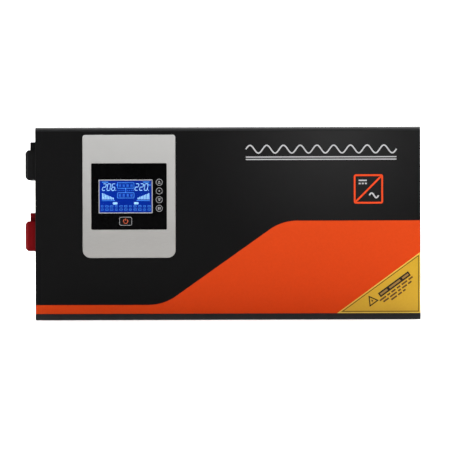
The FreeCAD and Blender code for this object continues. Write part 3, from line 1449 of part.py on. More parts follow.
def transformer():
    """The toroidal transformer, clamped to the wall side between pads by a dished disc and one bolt."""
    at = (TOROID_X, TOROID_Z)
    back = f"({INNER_BACK} - toroid_pad)"
    front = f"({back} - toroid_height)"
    blank = rod("winding_blank", "toroid_radius", "Y", (front, back), at)
    bored = ringed("winding_bored", blank, "toroid_bore", "Y", (front, back), at)
    DOC.recompute()
    corner = size("toroid_corner")
    eased = DOC.addObject("Part::Fillet", "winding_solid")
    eased.Base = bored
    eased.Edges = [(n, corner, corner) for n, e in enumerate(bored.Shape.Edges, 1)
                   if e.Curve.TypeId == "Part::GeomCircle"]
    keep("transformer_winding", eased)
    pads = []
    for row, span in (("back", (back, INNER_BACK)), ("front", (f"({front} - toroid_pad)", front))):
        pads.append(washer(f"pad_{row}", "toroid_radius - toroid_corner", "clamp_bolt", "Y", span, at))
    keep("transformer_pads", group("transformer_pad_group", pads))
    level = f"({front} - toroid_pad)"
    span = (f"({level} - clamp_disc_thickness)", level)
    keep("transformer_clamp", washer("clamp_plate_solid", "clamp_disc", "clamp_bolt", "Y", span, at))
    head = (f"({span[0]} - clamp_head_height)", span[0])
    shank = rod("clamp_shank", "clamp_bolt", "Y", (span[0], BACK), at)
    keep("transformer_bolt", fuse("transformer_bolt_solid",
                                  [hexagon("clamp_head", "clamp_head_flats", "Y", head, at), shank]))


BOARD_X = f"({BOARD_LEFT} + power_board_width / 2)"
BOARD_Z = "(case_height / 2)"
BOARD_BACK = f"({INNER_BACK} - standoff)"
BOARD_HALF = "(case_height / 2 - power_board_margin)"
SINKS = {"lower": -1, "upper": 1}
SINK_LEFT = f"({BOARD_LEFT} + sink_inset)"
CONTROL_X = f"({SINK_LEFT} + control_width / 2)"


def row_x(pitch, n):
    """The X of the nth piece in a row that starts at the heatsinks' left end."""
    return f"({SINK_LEFT} + {pitch} / 2 + {n} * {pitch})"


def sink_level(side):
    """The middle height of a heatsink near the board's lower or upper edge."""
    return f"({BOARD_Z} + {SINKS[side]} * ({BOARD_HALF} - sink_margin - sink_base / 2))"


def power_board():
    keep("power_board", box("power_board_solid", (BOARD_LEFT, f"{BOARD_LEFT} + power_board_width"),
                            (BOARD_FACE, BOARD_BACK), spread(BOARD_Z, BOARD_HALF)))


def board_standoffs():
    """Hexagonal spacers: four behind the power board, and four longer ones that carry the control board."""
    pieces = []
    for n, (a, b) in enumerate(SQUARE):
        x = f"({BOARD_X} + {a} * (power_board_width / 2 - standoff_inset))"
        z = f"({BOARD_Z} + {b} * ({BOARD_HALF} - standoff_inset))"
        pieces.append(hexagon(f"board_standoff_{n}", "standoff_flats", "Y", (BOARD_BACK, INNER_BACK),
                              (x, z)))
        x = f"({CONTROL_X} + {a} * (control_width / 2 - standoff_inset))"
        z = f"({BOARD_Z} + {b} * (control_height / 2 - standoff_inset))"
        pieces.append(hexagon(f"control_standoff_{n}", "standoff_flats", "Y",
                              (f"{BOARD_FACE} - control_stack", BOARD_FACE), (x, z)))
    keep("board_standoffs", group("standoff_group", pieces))


def heatsinks():
    """Two finned bars: a base that the transistors stand against, with fins away from the board's middle."""
    sinks = []
    x = (SINK_LEFT, f"{SINK_LEFT} + sink_length")
    front = f"{BOARD_FACE} - sink_depth"
    for side, way in SINKS.items():
        z = sink_level(side)
        pieces = [box(f"{side}_sink_base", x, (front, BOARD_FACE), spread(z, "sink_base / 2"))]
        edge = f"({z} + {way} * sink_base / 2)"
        far = f"({z} + {way} * (sink_base / 2 + sink_fin_length))"
        span = (edge, far) if way > 0 else (far, edge)
        for n in range(count("sink_fin_count")):
            y = f"({front} + {n} * (sink_depth - sink_fin) / (sink_fin_count - 1))"
            pieces.append(box(f"{side}_sink_fin_{n}", x, (y, f"{y} + sink_fin"), span))
        sinks.append(fuse(f"{side}_sink", pieces))
    keep("heatsinks", group("heatsink_group", sinks))


def power_transistors():
    """Rows of transistors flat against each heatsink's inner side."""
    pieces = []
    for side, way in SINKS.items():
        face = f"({sink_level(side)} - {way} * sink_base / 2)"
        deep = f"({face} - {way} * transistor_thickness)"
        span = (deep, face) if way > 0 else (face, deep)
        for n in range(count("transistor_count")):
            x = spread(row_x("transistor_pitch", n), "transistor_width / 2")
            pieces.append(box(f"{side}_transistor_{n}", x,
                              (f"{BOARD_FACE} - transistor_height", BOARD_FACE), span))
    keep("power_transistors", group("transistor_group", pieces))


def capacitors():
    """A row of electrolytic cans on the power board."""
    y = (f"{BOARD_FACE} - capacitor_height", BOARD_FACE)
    z = f"({BOARD_Z} + can_row_up)"
    cans = [rod(f"capacitor_{n}", "capacitor_radius", "Y", y, (row_x("capacitor_pitch", n), z))
            for n in range(count("capacitor_count"))]
    keep("capacitors", group("capacitor_group", cans))


def relays():
    """A row of relays below the cans."""
    y = (f"{BOARD_FACE} - relay_tall", BOARD_FACE)
    z = spread(f"({BOARD_Z} - relay_row_down)", "relay_length / 2")
    boxes = [box(f"relay_{n}", spread(row_x("relay_pitch", n), "relay_width / 2"), y, z)
             for n in range(count("relay_count"))]
    keep("relays", group("relay_group", boxes))


def control_board():
    """The small board in front of the cans and relays, on its four long spacers."""
    low = f"{BOARD_FACE} - control_stack"
    keep("control_board", box("control_board_solid", spread(CONTROL_X, "control_width / 2"),
                              (f"{low} - board_thickness", low), spread(BOARD_Z, "control_height / 2")))


# ---------------------------------------------------------------- build


def build():
    front_cover()
    back_plate()
    wall_mount_nuts()
    end_panel("dc", dc_panel_cuts())
    end_panel("ac", ac_panel_cuts())
    case_screws()
    front_overlay()
    sweep_graphic()
    corner_graphic()
    display_bezel()
    display_window()
    lcd_lens()
    lcd_module()
    display_carrier()
    display_board()
    key_switches()
    power_key()
    for name, z in round_keys():
        round_key(name, z)
    for pole, z in TERMINALS.items():
        terminal_base(pole, z)
        terminal_cover(pole, z)
    terminal_hardware()
    keep("busbars", group("busbar_group", [busbar(pole, z) for pole, z in TERMINALS.items()]))
    for side in OUTWARD:
        fan_frame(side)
        fan_rotor(side)
        fan_guard(side)
    fan_screws()
    for level, z in OUTLETS.items():
        outlet(level, z)
    outlet_earth_clips()
    mains_terminal_block()
    mains_clamps()
    mains_terminal_flap()
    breaker()
    data_port()
    earth_stud()
    transformer()
    power_board()
    board_standoffs()
    heatsinks()
    power_transistors()
    capacitors()
    relays()
    control_board()


def check():
    """Stops before anything is written if an object or a sub-part's shape is at fault."""
    for obj in DOC.Objects:
        if "Invalid" in obj.State or "Error" in obj.State:
            raise RuntimeError(f"{obj.Name} failed: {obj.State}")
    for label, obj in PARTS.items():
        if obj.Shape.isNull() or not obj.Shape.isValid() or not obj.Shape.Solids:
            raise RuntimeError(f"{label} has no valid solid")


def write():
    os.makedirs("parts", exist_ok=True)
    for label, obj in PARTS.items():
        obj.Shape.exportStep(os.path.join("parts", label + ".step"))


build()
DOC.recompute()
check()
write()
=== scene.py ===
"""The power inverter's looks: materials for every CAD node, the printed graphics, the lit screen,
the key markings and the marks on the sides, back and fans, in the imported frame's metres."""

import json
import math

import bmesh
import bpy
from mathutils import Matrix, Vector


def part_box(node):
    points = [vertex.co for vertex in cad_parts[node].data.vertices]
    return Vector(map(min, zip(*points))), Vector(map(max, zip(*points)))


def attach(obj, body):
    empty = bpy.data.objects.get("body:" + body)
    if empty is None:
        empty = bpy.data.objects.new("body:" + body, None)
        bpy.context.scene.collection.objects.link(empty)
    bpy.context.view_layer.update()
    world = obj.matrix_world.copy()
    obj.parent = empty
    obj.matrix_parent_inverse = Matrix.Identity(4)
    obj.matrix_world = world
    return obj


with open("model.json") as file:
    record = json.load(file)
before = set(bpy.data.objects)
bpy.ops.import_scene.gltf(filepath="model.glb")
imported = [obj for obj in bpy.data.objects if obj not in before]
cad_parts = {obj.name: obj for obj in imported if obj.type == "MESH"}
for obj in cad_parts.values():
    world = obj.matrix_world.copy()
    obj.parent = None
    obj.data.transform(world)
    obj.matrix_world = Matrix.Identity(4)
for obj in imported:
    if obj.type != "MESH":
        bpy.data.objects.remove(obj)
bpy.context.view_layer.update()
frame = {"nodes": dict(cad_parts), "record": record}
MM = 0.001

# ---------------------------------------------------------------- places from the frame

COVER_LOW, COVER_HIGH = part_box("front_cover")
FILM_LOW, FILM_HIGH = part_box("front_overlay")
BEZEL_LOW, BEZEL_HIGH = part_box("display_bezel")
LCD_LOW, LCD_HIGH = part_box("lcd_lens")
SWEEP_LOW, SWEEP_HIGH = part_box("sweep_graphic")
CORNER_LOW, CORNER_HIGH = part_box("corner_graphic")
FILM_FACE = FILM_LOW[1]
PRINT_FACE = SWEEP_LOW[1]
WINDOW_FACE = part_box("display_window")[0][1]
SCREEN_FACE = LCD_HIGH[1]
BACK_WALL = COVER_HIGH[1]
DC_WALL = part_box("dc_end_panel")[0][0]
AC_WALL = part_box("ac_end_panel")[1][0]

# Ink thicknesses, the rounding of a print's edge, and the distance within which its corners are one
INK, THIN_INK, FAINT_INK, INK_SOFT = 0.05 * MM, 0.03 * MM, 0.02 * MM, 0.012 * MM
WELD = 0.002 * MM

# The range that most of a noise texture falls in
MOST_NOISE = (0.3, 0.7)
BEVEL_SAMPLES = 4


# ---------------------------------------------------------------- node helpers


class Surface:
    """A Principled material and short calls for the nodes that feed it."""

    def __init__(self, name, colour, rough=0.5, metallic=0.0, ior=1.5, gloss=0.5):
        self.material = bpy.data.materials.new(name)
        self.material.use_nodes = True
        self.tree = self.material.node_tree
        self.shader = self.tree.nodes["Principled BSDF"]
        self.set("Base Color", (*colour, 1.0))
        self.set("Roughness", rough)
        self.set("Metallic", metallic)
        self.set("IOR", ior)
        self.set("Specular IOR Level", gloss)
        self.place = self.node("ShaderNodeTexCoord").outputs["Object"]
        self.normal = None

    def node(self, kind, **settings):
        made = self.tree.nodes.new(kind)
        for key, value in settings.items():
            setattr(made, key, value)
        return made

    def link(self, source, target):
        self.tree.links.new(source, target)

    def set(self, socket, value):
        self.shader.inputs[socket].default_value = value

    def stretched(self, x, y, z):
        """Object coordinates scaled along each axis."""
        mapping = self.node("ShaderNodeMapping")
        mapping.inputs["Scale"].default_value = (x, y, z)
        self.link(self.place, mapping.inputs["Vector"])
        return mapping.outputs["Vector"]

    def noise(self, scale, detail=4.0, rough=0.55, at=None):
        made = self.node("ShaderNodeTexNoise")
        made.inputs["Scale"].default_value = scale
        made.inputs["Detail"].default_value = detail
        made.inputs["Roughness"].default_value = rough
        self.link(at or self.place, made.inputs["Vector"])
        return made.outputs["Fac"]

    def cells(self, scale):
        made = self.node("ShaderNodeTexVoronoi")
        made.inputs["Scale"].default_value = scale
        self.link(self.place, made.inputs["Vector"])
        return made.outputs["Distance"]

    def span(self, value, to, over=(0.0, 1.0)):
        """value taken from the range over to the range to, and held at its ends."""
        made = self.node("ShaderNodeMapRange")
        for socket, number in zip(("From Min", "From Max", "To Min", "To Max"), (*over, *to)):
            made.inputs[socket].default_value = number
        self.link(value, made.inputs["Value"])
        return made.outputs["Result"]

    def axis(self, name):
        """One of the object coordinates X, Y or Z."""
        made = self.node("ShaderNodeSeparateXYZ")
        self.link(self.place, made.inputs[0])
        return made.outputs[name]

    def blend(self, share, first, second):
        """Mixes two colours, each a colour or a socket."""
        made = self.node("ShaderNodeMix", data_type="RGBA")
        self.link(share, made.inputs["Factor"])
        for socket, colour in zip((made.inputs[6], made.inputs[7]), (first, second)):
            if isinstance(colour, bpy.types.NodeSocket):
                self.link(colour, socket)
            else:
                socket.default_value = (*colour, 1.0)
        return made.outputs[2]

    def colour(self, socket):
        self.link(socket, self.shader.inputs["Base Color"])

    def rough(self, socket):
        self.link(socket, self.shader.inputs["Roughness"])

    def soften(self, radius):
        """Rounds the look of sharp edges."""
        made = self.node("ShaderNodeBevel")
        made.samples = BEVEL_SAMPLES
        made.inputs["Radius"].default_value = radius
        self.normal = made.outputs["Normal"]
        self.link(self.normal, self.shader.inputs["Normal"])

    def bump(self, height, depth, strength=1.0):
        """Raises the surface by up to depth metres."""
        made = self.node("ShaderNodeBump")
        made.inputs["Distance"].default_value = depth
        made.inputs["Strength"].default_value = strength
        self.link(height, made.inputs["Height"])
        if self.normal is not None:
            self.link(self.normal, made.inputs["Normal"])
        self.normal = made.outputs["Normal"]
        self.link(self.normal, self.shader.inputs["Normal"])

    def worn_edges(self, radius, share, bare):
        """Colours the edges: where a bevelled normal leaves the true one, less a broken noise."""
        bevel = self.node("ShaderNodeBevel")
        bevel.samples = BEVEL_SAMPLES
        bevel.inputs["Radius"].default_value = radius
        geometry = self.node("ShaderNodeNewGeometry")
        dot = self.node("ShaderNodeVectorMath", operation="DOT_PRODUCT")
        self.link(bevel.outputs["Normal"], dot.inputs[0])
        self.link(geometry.outputs["Normal"], dot.inputs[1])
        edge = self.span(dot.outputs["Value"], (1.0, 0.0), over=(0.82, 0.995))
        broken = self.span(self.noise(scale=900, detail=6), (0.0, share), over=(0.42, 0.72))
        both = self.node("ShaderNodeMath", operation="MULTIPLY", use_clamp=True)
        self.link(edge, both.inputs[0])
        self.link(broken, both.inputs[1])
        base = self.shader.inputs["Base Color"]
        under = base.links[0].from_socket if base.is_linked else tuple(base.default_value)[:3]
        self.colour(self.blend(both.outputs[0], under, bare))


def moulded(name, colour, rough=0.42, grain=0.05, soften=0.35, gloss=0.3):
    """Moulded plastic: a fine spark-eroded grain, faint flow marks and softly rounded edges."""
    made = Surface(name, colour, rough, gloss=gloss)
    made.soften(soften * MM)
    flow = made.noise(scale=35, detail=3)
    lighter = tuple(min(1.0, c * 1.4 + 0.0008) for c in colour)
    made.colour(made.blend(flow, colour, lighter))
    made.rough(made.span(made.noise(scale=260, detail=5), (rough - 0.07, rough + 0.09), over=MOST_NOISE))
    made.bump(made.noise(scale=2600, detail=3), grain * MM, 0.35)
    return made


def powder_coat(name, colour):
    """Black powder coat: a fine sand grain, a dust haze, rubbed edges, and paler where it faces up, partly
    settled dust and partly painted light from above on the top bend.
    """
    made = Surface(name, colour, 0.44, gloss=0.2)
    made.soften(0.5 * MM)
    haze = made.span(made.noise(scale=9, detail=5), (0.0, 1.0), over=(0.35, 0.7))
    skin = made.blend(haze, colour, tuple(c * 1.5 for c in colour))
    # Painted highlight with dust: faces turned up are paler, partly settled dust and partly standing in for
    # the light that falls from above on the top bend.
    facing = made.node("ShaderNodeSeparateXYZ")
    made.link(made.node("ShaderNodeNewGeometry").outputs["Normal"], facing.inputs[0])
    dust_and_top_light = made.span(facing.outputs["Z"], (0.0, 1.0), over=(0.05, 0.9))
    made.colour(made.blend(dust_and_top_light, skin, (0.034, 0.034, 0.035)))
    made.worn_edges(0.35 * MM, 0.6, (0.09, 0.09, 0.092))
    made.rough(made.span(made.noise(scale=120, detail=6), (0.4, 0.58), over=MOST_NOISE))
    made.bump(made.noise(scale=1500, detail=5, rough=0.6), 0.06 * MM, 0.4)
    return made


def metal(name, colour, rough, stretch=(1, 1, 1)):
    """Plated or machined metal: fine lines, dulled patches and softened edges."""
    edge_radius, scratch_depth = 0.25 * MM, 0.02 * MM
    made = Surface(name, colour, rough, 1.0)
    made.soften(edge_radius)
    lines = made.noise(scale=900, detail=4, rough=0.6, at=made.stretched(*stretch))
    dull = tuple(c * 0.72 for c in colour)
    patches = made.span(made.noise(scale=60, detail=5), (0.0, 0.8), over=(0.35, 0.75))
    made.colour(made.blend(patches, colour, dull))
    made.rough(made.span(lines, (rough - 0.08, rough + 0.12), over=MOST_NOISE))
    made.bump(lines, scratch_depth, 0.4)
    return made


def brushed_plate():
    """The bezel: fine horizontal brushing under clear anodising, painted lighter towards the top as light
    from above.
    """
    made = Surface("bezel_brushed", (0.46, 0.45, 0.44), 0.42, 0.55)
    made.soften(0.4 * MM)
    lines = made.noise(scale=240, detail=6, rough=0.7, at=made.stretched(0.6, 1, 24))
    broad = made.noise(scale=14, detail=3, rough=0.5, at=made.stretched(0.3, 1, 2))
    streaks = made.span(lines, (0.0, 1.0), over=MOST_NOISE)
    tone = made.blend(streaks, (0.265, 0.256, 0.243), (0.355, 0.346, 0.332))
    tone = made.blend(made.span(broad, (0.0, 0.35), over=MOST_NOISE), tone, (0.42, 0.411, 0.398))
    # Painted highlight: the plate lightens towards its top, standing in for the light from above.
    rise = made.span(made.axis("Z"), (0.0, 0.75), over=(BEZEL_LOW[2], BEZEL_HIGH[2]))
    made.colour(made.blend(rise, tone, (0.57, 0.57, 0.56)))
    made.rough(made.span(lines, (0.34, 0.5), over=MOST_NOISE))
    made.bump(lines, 0.01 * MM, 0.35)
    return made


def printed_film(name, low_colour, high_colour, z_low, z_high, rough=0.4, gloss=0.12):
    """Screen-printed film: an even ink, painted lighter up the panel as light falling from above, over a
    fine matt grain.
    """
    made = Surface(name, low_colour, rough, gloss=gloss)
    # Painted light: the ink is shaded from its low colour to its lighter high colour up the panel, standing
    # in for the light from above.
    rise = made.span(made.axis("Z"), (0.0, 1.0), over=(z_low, z_high))
    ink = made.blend(rise, low_colour, high_colour)
    mottle = made.span(made.noise(scale=420, detail=5), (0.0, 0.16), over=(0.35, 0.7))
    made.colour(made.blend(mottle, ink, tuple(c * 0.7 for c in low_colour)))
    made.rough(made.span(made.noise(scale=190, detail=6), (rough - 0.06, rough + 0.1), over=MOST_NOISE))
    made.bump(made.noise(scale=3200, detail=3), 0.012 * MM, 0.3)
    return made


def black_film():
    """The black field: near black, painted lighter towards the top, with a soft painted highlight at the
    upper right.
    """
    made = printed_film("film_black", (0.0030, 0.0030, 0.0031), (0.0048, 0.0048, 0.0050),
                        FILM_LOW[2], FILM_HIGH[2], 0.46, 0.05)
    # Painted highlight: the field lightens round a point above its upper right, standing in for a sheen of
    # light on the film.
    from_right, above_top, falloff = 95 * MM, 8 * MM, 1.6
    centre = (FILM_HIGH[0] - from_right, FILM_LOW[1], FILM_HIGH[2] + above_top)
    away = made.node("ShaderNodeVectorMath", operation="DISTANCE")
    away.inputs[1].default_value = centre
    made.link(made.place, away.inputs[0])
    near = made.span(away.outputs["Value"], (1.0, 0.0), over=(0.02, 0.175))
    soft = made.node("ShaderNodeMath", operation="POWER")
    soft.inputs[1].default_value = falloff
    made.link(near, soft.inputs[0])
    under = made.shader.inputs["Base Color"].links[0].from_socket
    made.colour(made.blend(soft.outputs[0], under, (0.0195, 0.0195, 0.0197)))
    return made


def clear_plastic(name, tint, rough=0.04):
    """Clear moulded or cast plastic with a trace of smears."""
    made = Surface(name, tint, rough, 0.0, 1.46)
    made.set("Transmission Weight", 1.0)
    made.rough(made.span(made.noise(scale=55, detail=5), (rough, rough + 0.08), over=(0.45, 0.8)))
    made.bump(made.noise(scale=40, detail=2), 0.004 * MM, 0.2)
    return made


def circuit_board():
    """Green solder mask over a grid of tracks that breaks off in patches."""
    made = Surface("circuit_board", (0.01, 0.09, 0.03), 0.32)
    tracks = made.node("ShaderNodeTexBrick")
    tracks.inputs["Scale"].default_value = 130
    tracks.inputs["Mortar Size"].default_value = 0.03
    turned = made.node("ShaderNodeMapping")
    turned.inputs["Rotation"].default_value = (math.radians(90), 0, 0)
    made.link(made.place, turned.inputs["Vector"])
    made.link(turned.outputs["Vector"], tracks.inputs["Vector"])
    mask = made.span(made.noise(scale=45, detail=2), (0.0, 1.0), over=(0.48, 0.52))
    copper = made.node("ShaderNodeMath", operation="MULTIPLY")
    made.link(tracks.outputs["Fac"], copper.inputs[0])
    made.link(mask, copper.inputs[1])
    made.colour(made.blend(copper.outputs[0], (0.008, 0.075, 0.025), (0.05, 0.22, 0.07)))
    made.rough(made.span(made.noise(scale=80, detail=3), (0.25, 0.4)))
    made.bump(tracks.outputs["Fac"], 0.03 * MM, 0.4)
    return made


def taped_winding():
    """Yellow polyester tape lapped round a toroid: spokes of overlap with enamel wire showing through."""
    made = Surface("taped_winding", (0.5, 0.33, 0.05), 0.3)
    lap_count = 60
    low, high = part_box("transformer_winding")
    middle = [(a + b) / 2 for a, b in zip(low, high)]
    shift = made.node("ShaderNodeVectorMath", operation="SUBTRACT")
    shift.inputs[1].default_value = middle
    made.link(made.place, shift.inputs[0])
    parts = made.node("ShaderNodeSeparateXYZ")
    made.link(shift.outputs[0], parts.inputs[0])
    angle = made.node("ShaderNodeMath", operation="ARCTAN2")
    made.link(parts.outputs["X"], angle.inputs[0])
    made.link(parts.outputs["Z"], angle.inputs[1])
    laps = made.node("ShaderNodeMath", operation="MULTIPLY")
    laps.inputs[1].default_value = lap_count / (2 * math.pi)
    made.link(angle.outputs[0], laps.inputs[0])
    saw = made.node("ShaderNodeMath", operation="FRACT")
    made.link(laps.outputs[0], saw.inputs[0])
    tone = made.blend(saw.outputs[0], (0.36, 0.2, 0.03), (0.62, 0.42, 0.07))
    wire = made.span(made.noise(scale=70, detail=4), (0.0, 0.5), over=(0.4, 0.8))
    made.colour(made.blend(wire, tone, (0.25, 0.1, 0.03)))
    made.rough(made.span(made.noise(scale=200, detail=3), (0.22, 0.42)))
    made.bump(saw.outputs[0], 0.25 * MM, 0.6)
    return made


def lit(name, colour, strength):
    """A lit segment: an even glow, a little uneven where the backlight is."""
    made = Surface(name, colour, 0.4)
    glow = made.span(made.noise(scale=60, detail=2), (0.86 * strength, 1.08 * strength), over=MOST_NOISE)
    made.set("Emission Color", (*colour, 1.0))
    made.link(glow, made.shader.inputs["Emission Strength"])
    return made


def screen_blue():
    """The backlit field: deep blue, brighter to the left and in clouds, with the cell's fine dots."""
    made = Surface("screen_blue", (0.0, 0.02, 0.2), 0.35)
    middle = (LCD_LOW[0] + LCD_HIGH[0]) / 2
    half = (LCD_HIGH[0] - LCD_LOW[0]) / 2
    sideways = made.span(made.axis("X"), (0.0, 1.0), over=(middle - half, middle + half))
    field = made.blend(sideways, (0.0, 0.024, 0.34), (0.001, 0.021, 0.27))
    cloud = made.span(made.noise(scale=45, detail=2), (0.0, 0.5), over=(0.35, 0.75))
    field = made.blend(cloud, field, (0.001, 0.050, 0.42))
    made.link(field, made.shader.inputs["Emission Color"])
    made.set("Emission Strength", 0.85)
    made.bump(made.cells(2400), 0.004 * MM, 0.3)
    return made


# ---------------------------------------------------------------- materials for the CAD nodes

BLACK = (0.0055, 0.0055, 0.006)


def node_materials():
    """Material by slot name, as the record names them."""
    return {
        "black_powder": powder_coat("powder_black", BLACK),
        "black_screw": metal("screw_black", (0.02, 0.02, 0.021), 0.4),
        "zinc": metal("zinc_plate", (0.40, 0.41, 0.41), 0.34),
        "black_film": black_film(),
        # Painted light: each print's second colour, at its top, is a little lighter, standing in for the
        # light from above.
        "orange_print": printed_film("ink_orange", (0.570, 0.043, 0.0026), (0.585, 0.052, 0.0062),
                                     SWEEP_LOW[2], SWEEP_HIGH[2], gloss=0.06),
        "yellow_print": printed_film("ink_yellow", (0.53, 0.315, 0.030), (0.55, 0.33, 0.024),
                                     CORNER_LOW[2], CORNER_HIGH[2], gloss=0.06),
        "silver_plate": brushed_plate(),
        "dark_acrylic": moulded("acrylic_dark", (0.0008, 0.0008, 0.0009), 0.14, 0.004, 0.2, 0.05),
        "clear_lens": clear_plastic("lens_clear", (0.97, 0.98, 1.0)),
        "blue_screen": screen_blue(),
        "black_plastic": moulded("plastic_black", (0.0035, 0.0035, 0.0037), 0.4, gloss=0.12),
        "red_plastic": moulded("plastic_red", (0.150, 0.0010, 0.0025), 0.4, gloss=0.05),
        "key_plastic": moulded("plastic_key", (0.0016, 0.0016, 0.0018), 0.25, 0.01, 0.25, 0.12),
        "brass_metal": metal("brass_turned", (0.72, 0.5, 0.2), 0.25, (1, 6, 1)),
        "copper_bar": metal("copper_rolled", (0.72, 0.33, 0.18), 0.32, (1, 1, 8)),
        "fan_plastic": moulded("plastic_fan", (0.012, 0.012, 0.013), 0.34),
        "chrome_wire": metal("wire_bright", (0.45, 0.455, 0.46), 0.2),
        "outlet_plastic": moulded("plastic_outlet", (0.014, 0.014, 0.015), 0.22, 0.015),
        "block_plastic": moulded("plastic_block", (0.02, 0.02, 0.022), 0.45),
        "clear_flap": clear_plastic("flap_clear", (0.9, 0.95, 1.0), 0.06),
        "white_plastic": moulded("plastic_white", (0.72, 0.71, 0.67), 0.3),
        "port_metal": metal("port_shield", (0.40, 0.41, 0.42), 0.32, (1, 1, 6)),
        "winding_tape": taped_winding(),
        "rubber_pad": moulded("rubber_black", (0.012, 0.012, 0.012), 0.75, 0.08),
        "green_board": circuit_board(),
        "sink_aluminium": metal("sink_extruded", (0.62, 0.63, 0.64), 0.34, (0.1, 8, 8)),
        "can_sleeve": moulded("sleeve_blue", (0.006, 0.012, 0.07), 0.3, 0.01),
    }


def dress_nodes():
    """Gives every CAD node the material of its slot in the record."""
    made = node_materials()
    slots = {row["node"]: row["material_slot"] for row in frame["record"]["subparts"]}
    for node, obj in frame["nodes"].items():
        obj.data.materials.clear()
        obj.data.materials.append(made[slots[node]].material)


# ---------------------------------------------------------------- mesh helpers


def finish_piece(name, mesh, material, body):
    """An object for the mesh that rides on a body, with the given material."""
    mesh.materials.append(material)
    piece = bpy.data.objects.new(name, mesh)
    bpy.context.scene.collection.objects.link(piece)
    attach(piece, body)
    return piece


def print_shapes(name, outlines, face, material, body="case", thick=INK, soft=INK_SOFT, turn=0):
    """Flat ink shapes on a face that looks along -Y. Each outline is a closed list of (x, z).

    Outlines that share an edge become one shape with no wall between them. turn swings the finished
    shapes about the Z axis, in degrees, so that they look along another side.
    """
    work = bmesh.new()
    corners = {}

    def corner(point):
        key = (round(point[0] / WELD), round(point[1] / WELD))
        if key not in corners:
            x, z = point
            corners[key] = (work.verts.new((x, face - thick, z)), work.verts.new((x, face, z)))
        return corners[key]

    loops = []
    for outline in outlines:
        area = sum(a[0] * b[1] - b[0] * a[1] for a, b in zip(outline, outline[1:] + outline[:1]))
        ring = [corner(point) for point in (outline if area > 0 else outline[::-1])]
        loops.append([pair for n, pair in enumerate(ring) if pair is not ring[n - 1]])
    steps = {(a, b) for ring in loops for a, b in zip(ring, ring[1:] + ring[:1])}
    for ring in loops:
        work.faces.new([front for front, back in ring])
        work.faces.new([back for front, back in ring[::-1]])
        for a, b in zip(ring, ring[1:] + ring[:1]):
            if (b, a) not in steps:
                work.faces.new((a[0], a[1], b[1], b[0]))
    if turn:
        swing = Matrix.Rotation(math.radians(turn), 3, "Z")
        bmesh.ops.rotate(work, verts=work.verts, cent=(0, 0, 0), matrix=swing)
    mesh = bpy.data.meshes.new(name)
    work.to_mesh(mesh)
    work.free()
    piece = finish_piece(name, mesh, material, body)
    if soft:
        rounding = piece.modifiers.new("rounding", "BEVEL")
        rounding.width = soft
        rounding.segments = 1
        rounding.limit_method = "ANGLE"


def bar(x_low, x_high, z_low, z_high):
    """An upright rectangle."""
    return [(x_low, z_low), (x_high, z_low), (x_high, z_high), (x_low, z_high)]


def stroke(points, width):
    """A closed outline around an open line of points, of even width, with square ends."""
    left, right = [], []
    for n, point in enumerate(points):
        before = Vector(points[max(n - 1, 0)])
        after = Vector(points[min(n + 1, len(points) - 1)])
        along = (after - before).normalized()
        side = Vector((-along.y, along.x)) * width / 2
        left.append(tuple(Vector(point) + side))
        right.append(tuple(Vector(point) - side))
    return left + right[::-1]


def loop_band(outer, inner):
    """Quads between two closed outlines with the same number of points."""
    count = len(outer)
    return [[outer[n], outer[(n + 1) % count], inner[(n + 1) % count], inner[n]] for n in range(count)]


def circle(x, z, radius, count=48):
    return [(x + radius * math.cos(2 * math.pi * n / count), z + radius * math.sin(2 * math.pi * n / count))
            for n in range(count)]


def arc(x, z, radius, start, end, count=24):
    """Points round part of a circle, in degrees from +X towards +Z."""
    turns = [math.radians(start + (end - start) * n / count) for n in range(count + 1)]
    return [(x + radius * math.cos(t), z + radius * math.sin(t)) for t in turns]


def round_box(x_low, x_high, z_low, z_high, corner):
    """A rectangle with rounded corners, anticlockwise."""
    corner_steps = 6
    points = []
    for x, z, start in ((x_high - corner, z_high - corner, 0), (x_low + corner, z_high - corner, 90),
                        (x_low + corner, z_low + corner, 180), (x_high - corner, z_low + corner, 270)):
        points += arc(x, z, corner, start, start + 90, corner_steps)
    return points


def frame_line(x_low, x_high, z_low, z_high, corner, width):
    """A rounded rectangle drawn as a line of even width inside its outer edge."""
    smallest = 0.05 * MM
    return loop_band(round_box(x_low, x_high, z_low, z_high, corner),
                     round_box(x_low + width, x_high - width, z_low + width, z_high - width,
                               max(corner - width, smallest)))


# ---------------------------------------------------------------- front graphics


def ink_materials():
    """The printing inks, each a film with its own tone, painted 12 per cent lighter at the top of the cover
    as light from above.
    """

    def ink(name, colour, rough=0.42):
        # Painted light: the top colour is 12 per cent lighter than the ink, standing in for the light from
        # above.
        return printed_film(name, colour, tuple(min(1.0, c * 1.12) for c in colour),
                            COVER_LOW[2], COVER_HIGH[2], rough).material
    return {
        "grey": ink("ink_grey", (0.42, 0.42, 0.43)),
        "orange": ink("ink_orange_line", (0.66, 0.055, 0.009)),
        "black": ink("ink_black", (0.012, 0.010, 0.006)),
        "dark": ink("ink_olive", (0.045, 0.024, 0.005)),
        "tan": ink("ink_tan", (0.27, 0.150, 0.035)),
        "brown": ink("ink_brown", (0.105, 0.050, 0.012)),
        "pale": ink("ink_pale_yellow", (0.66, 0.44, 0.07)),
        "silver": ink("ink_silver", (0.28, 0.28, 0.29), 0.3),
        "foil": ink("ink_foil", (0.34, 0.34, 0.35), 0.34),
    }


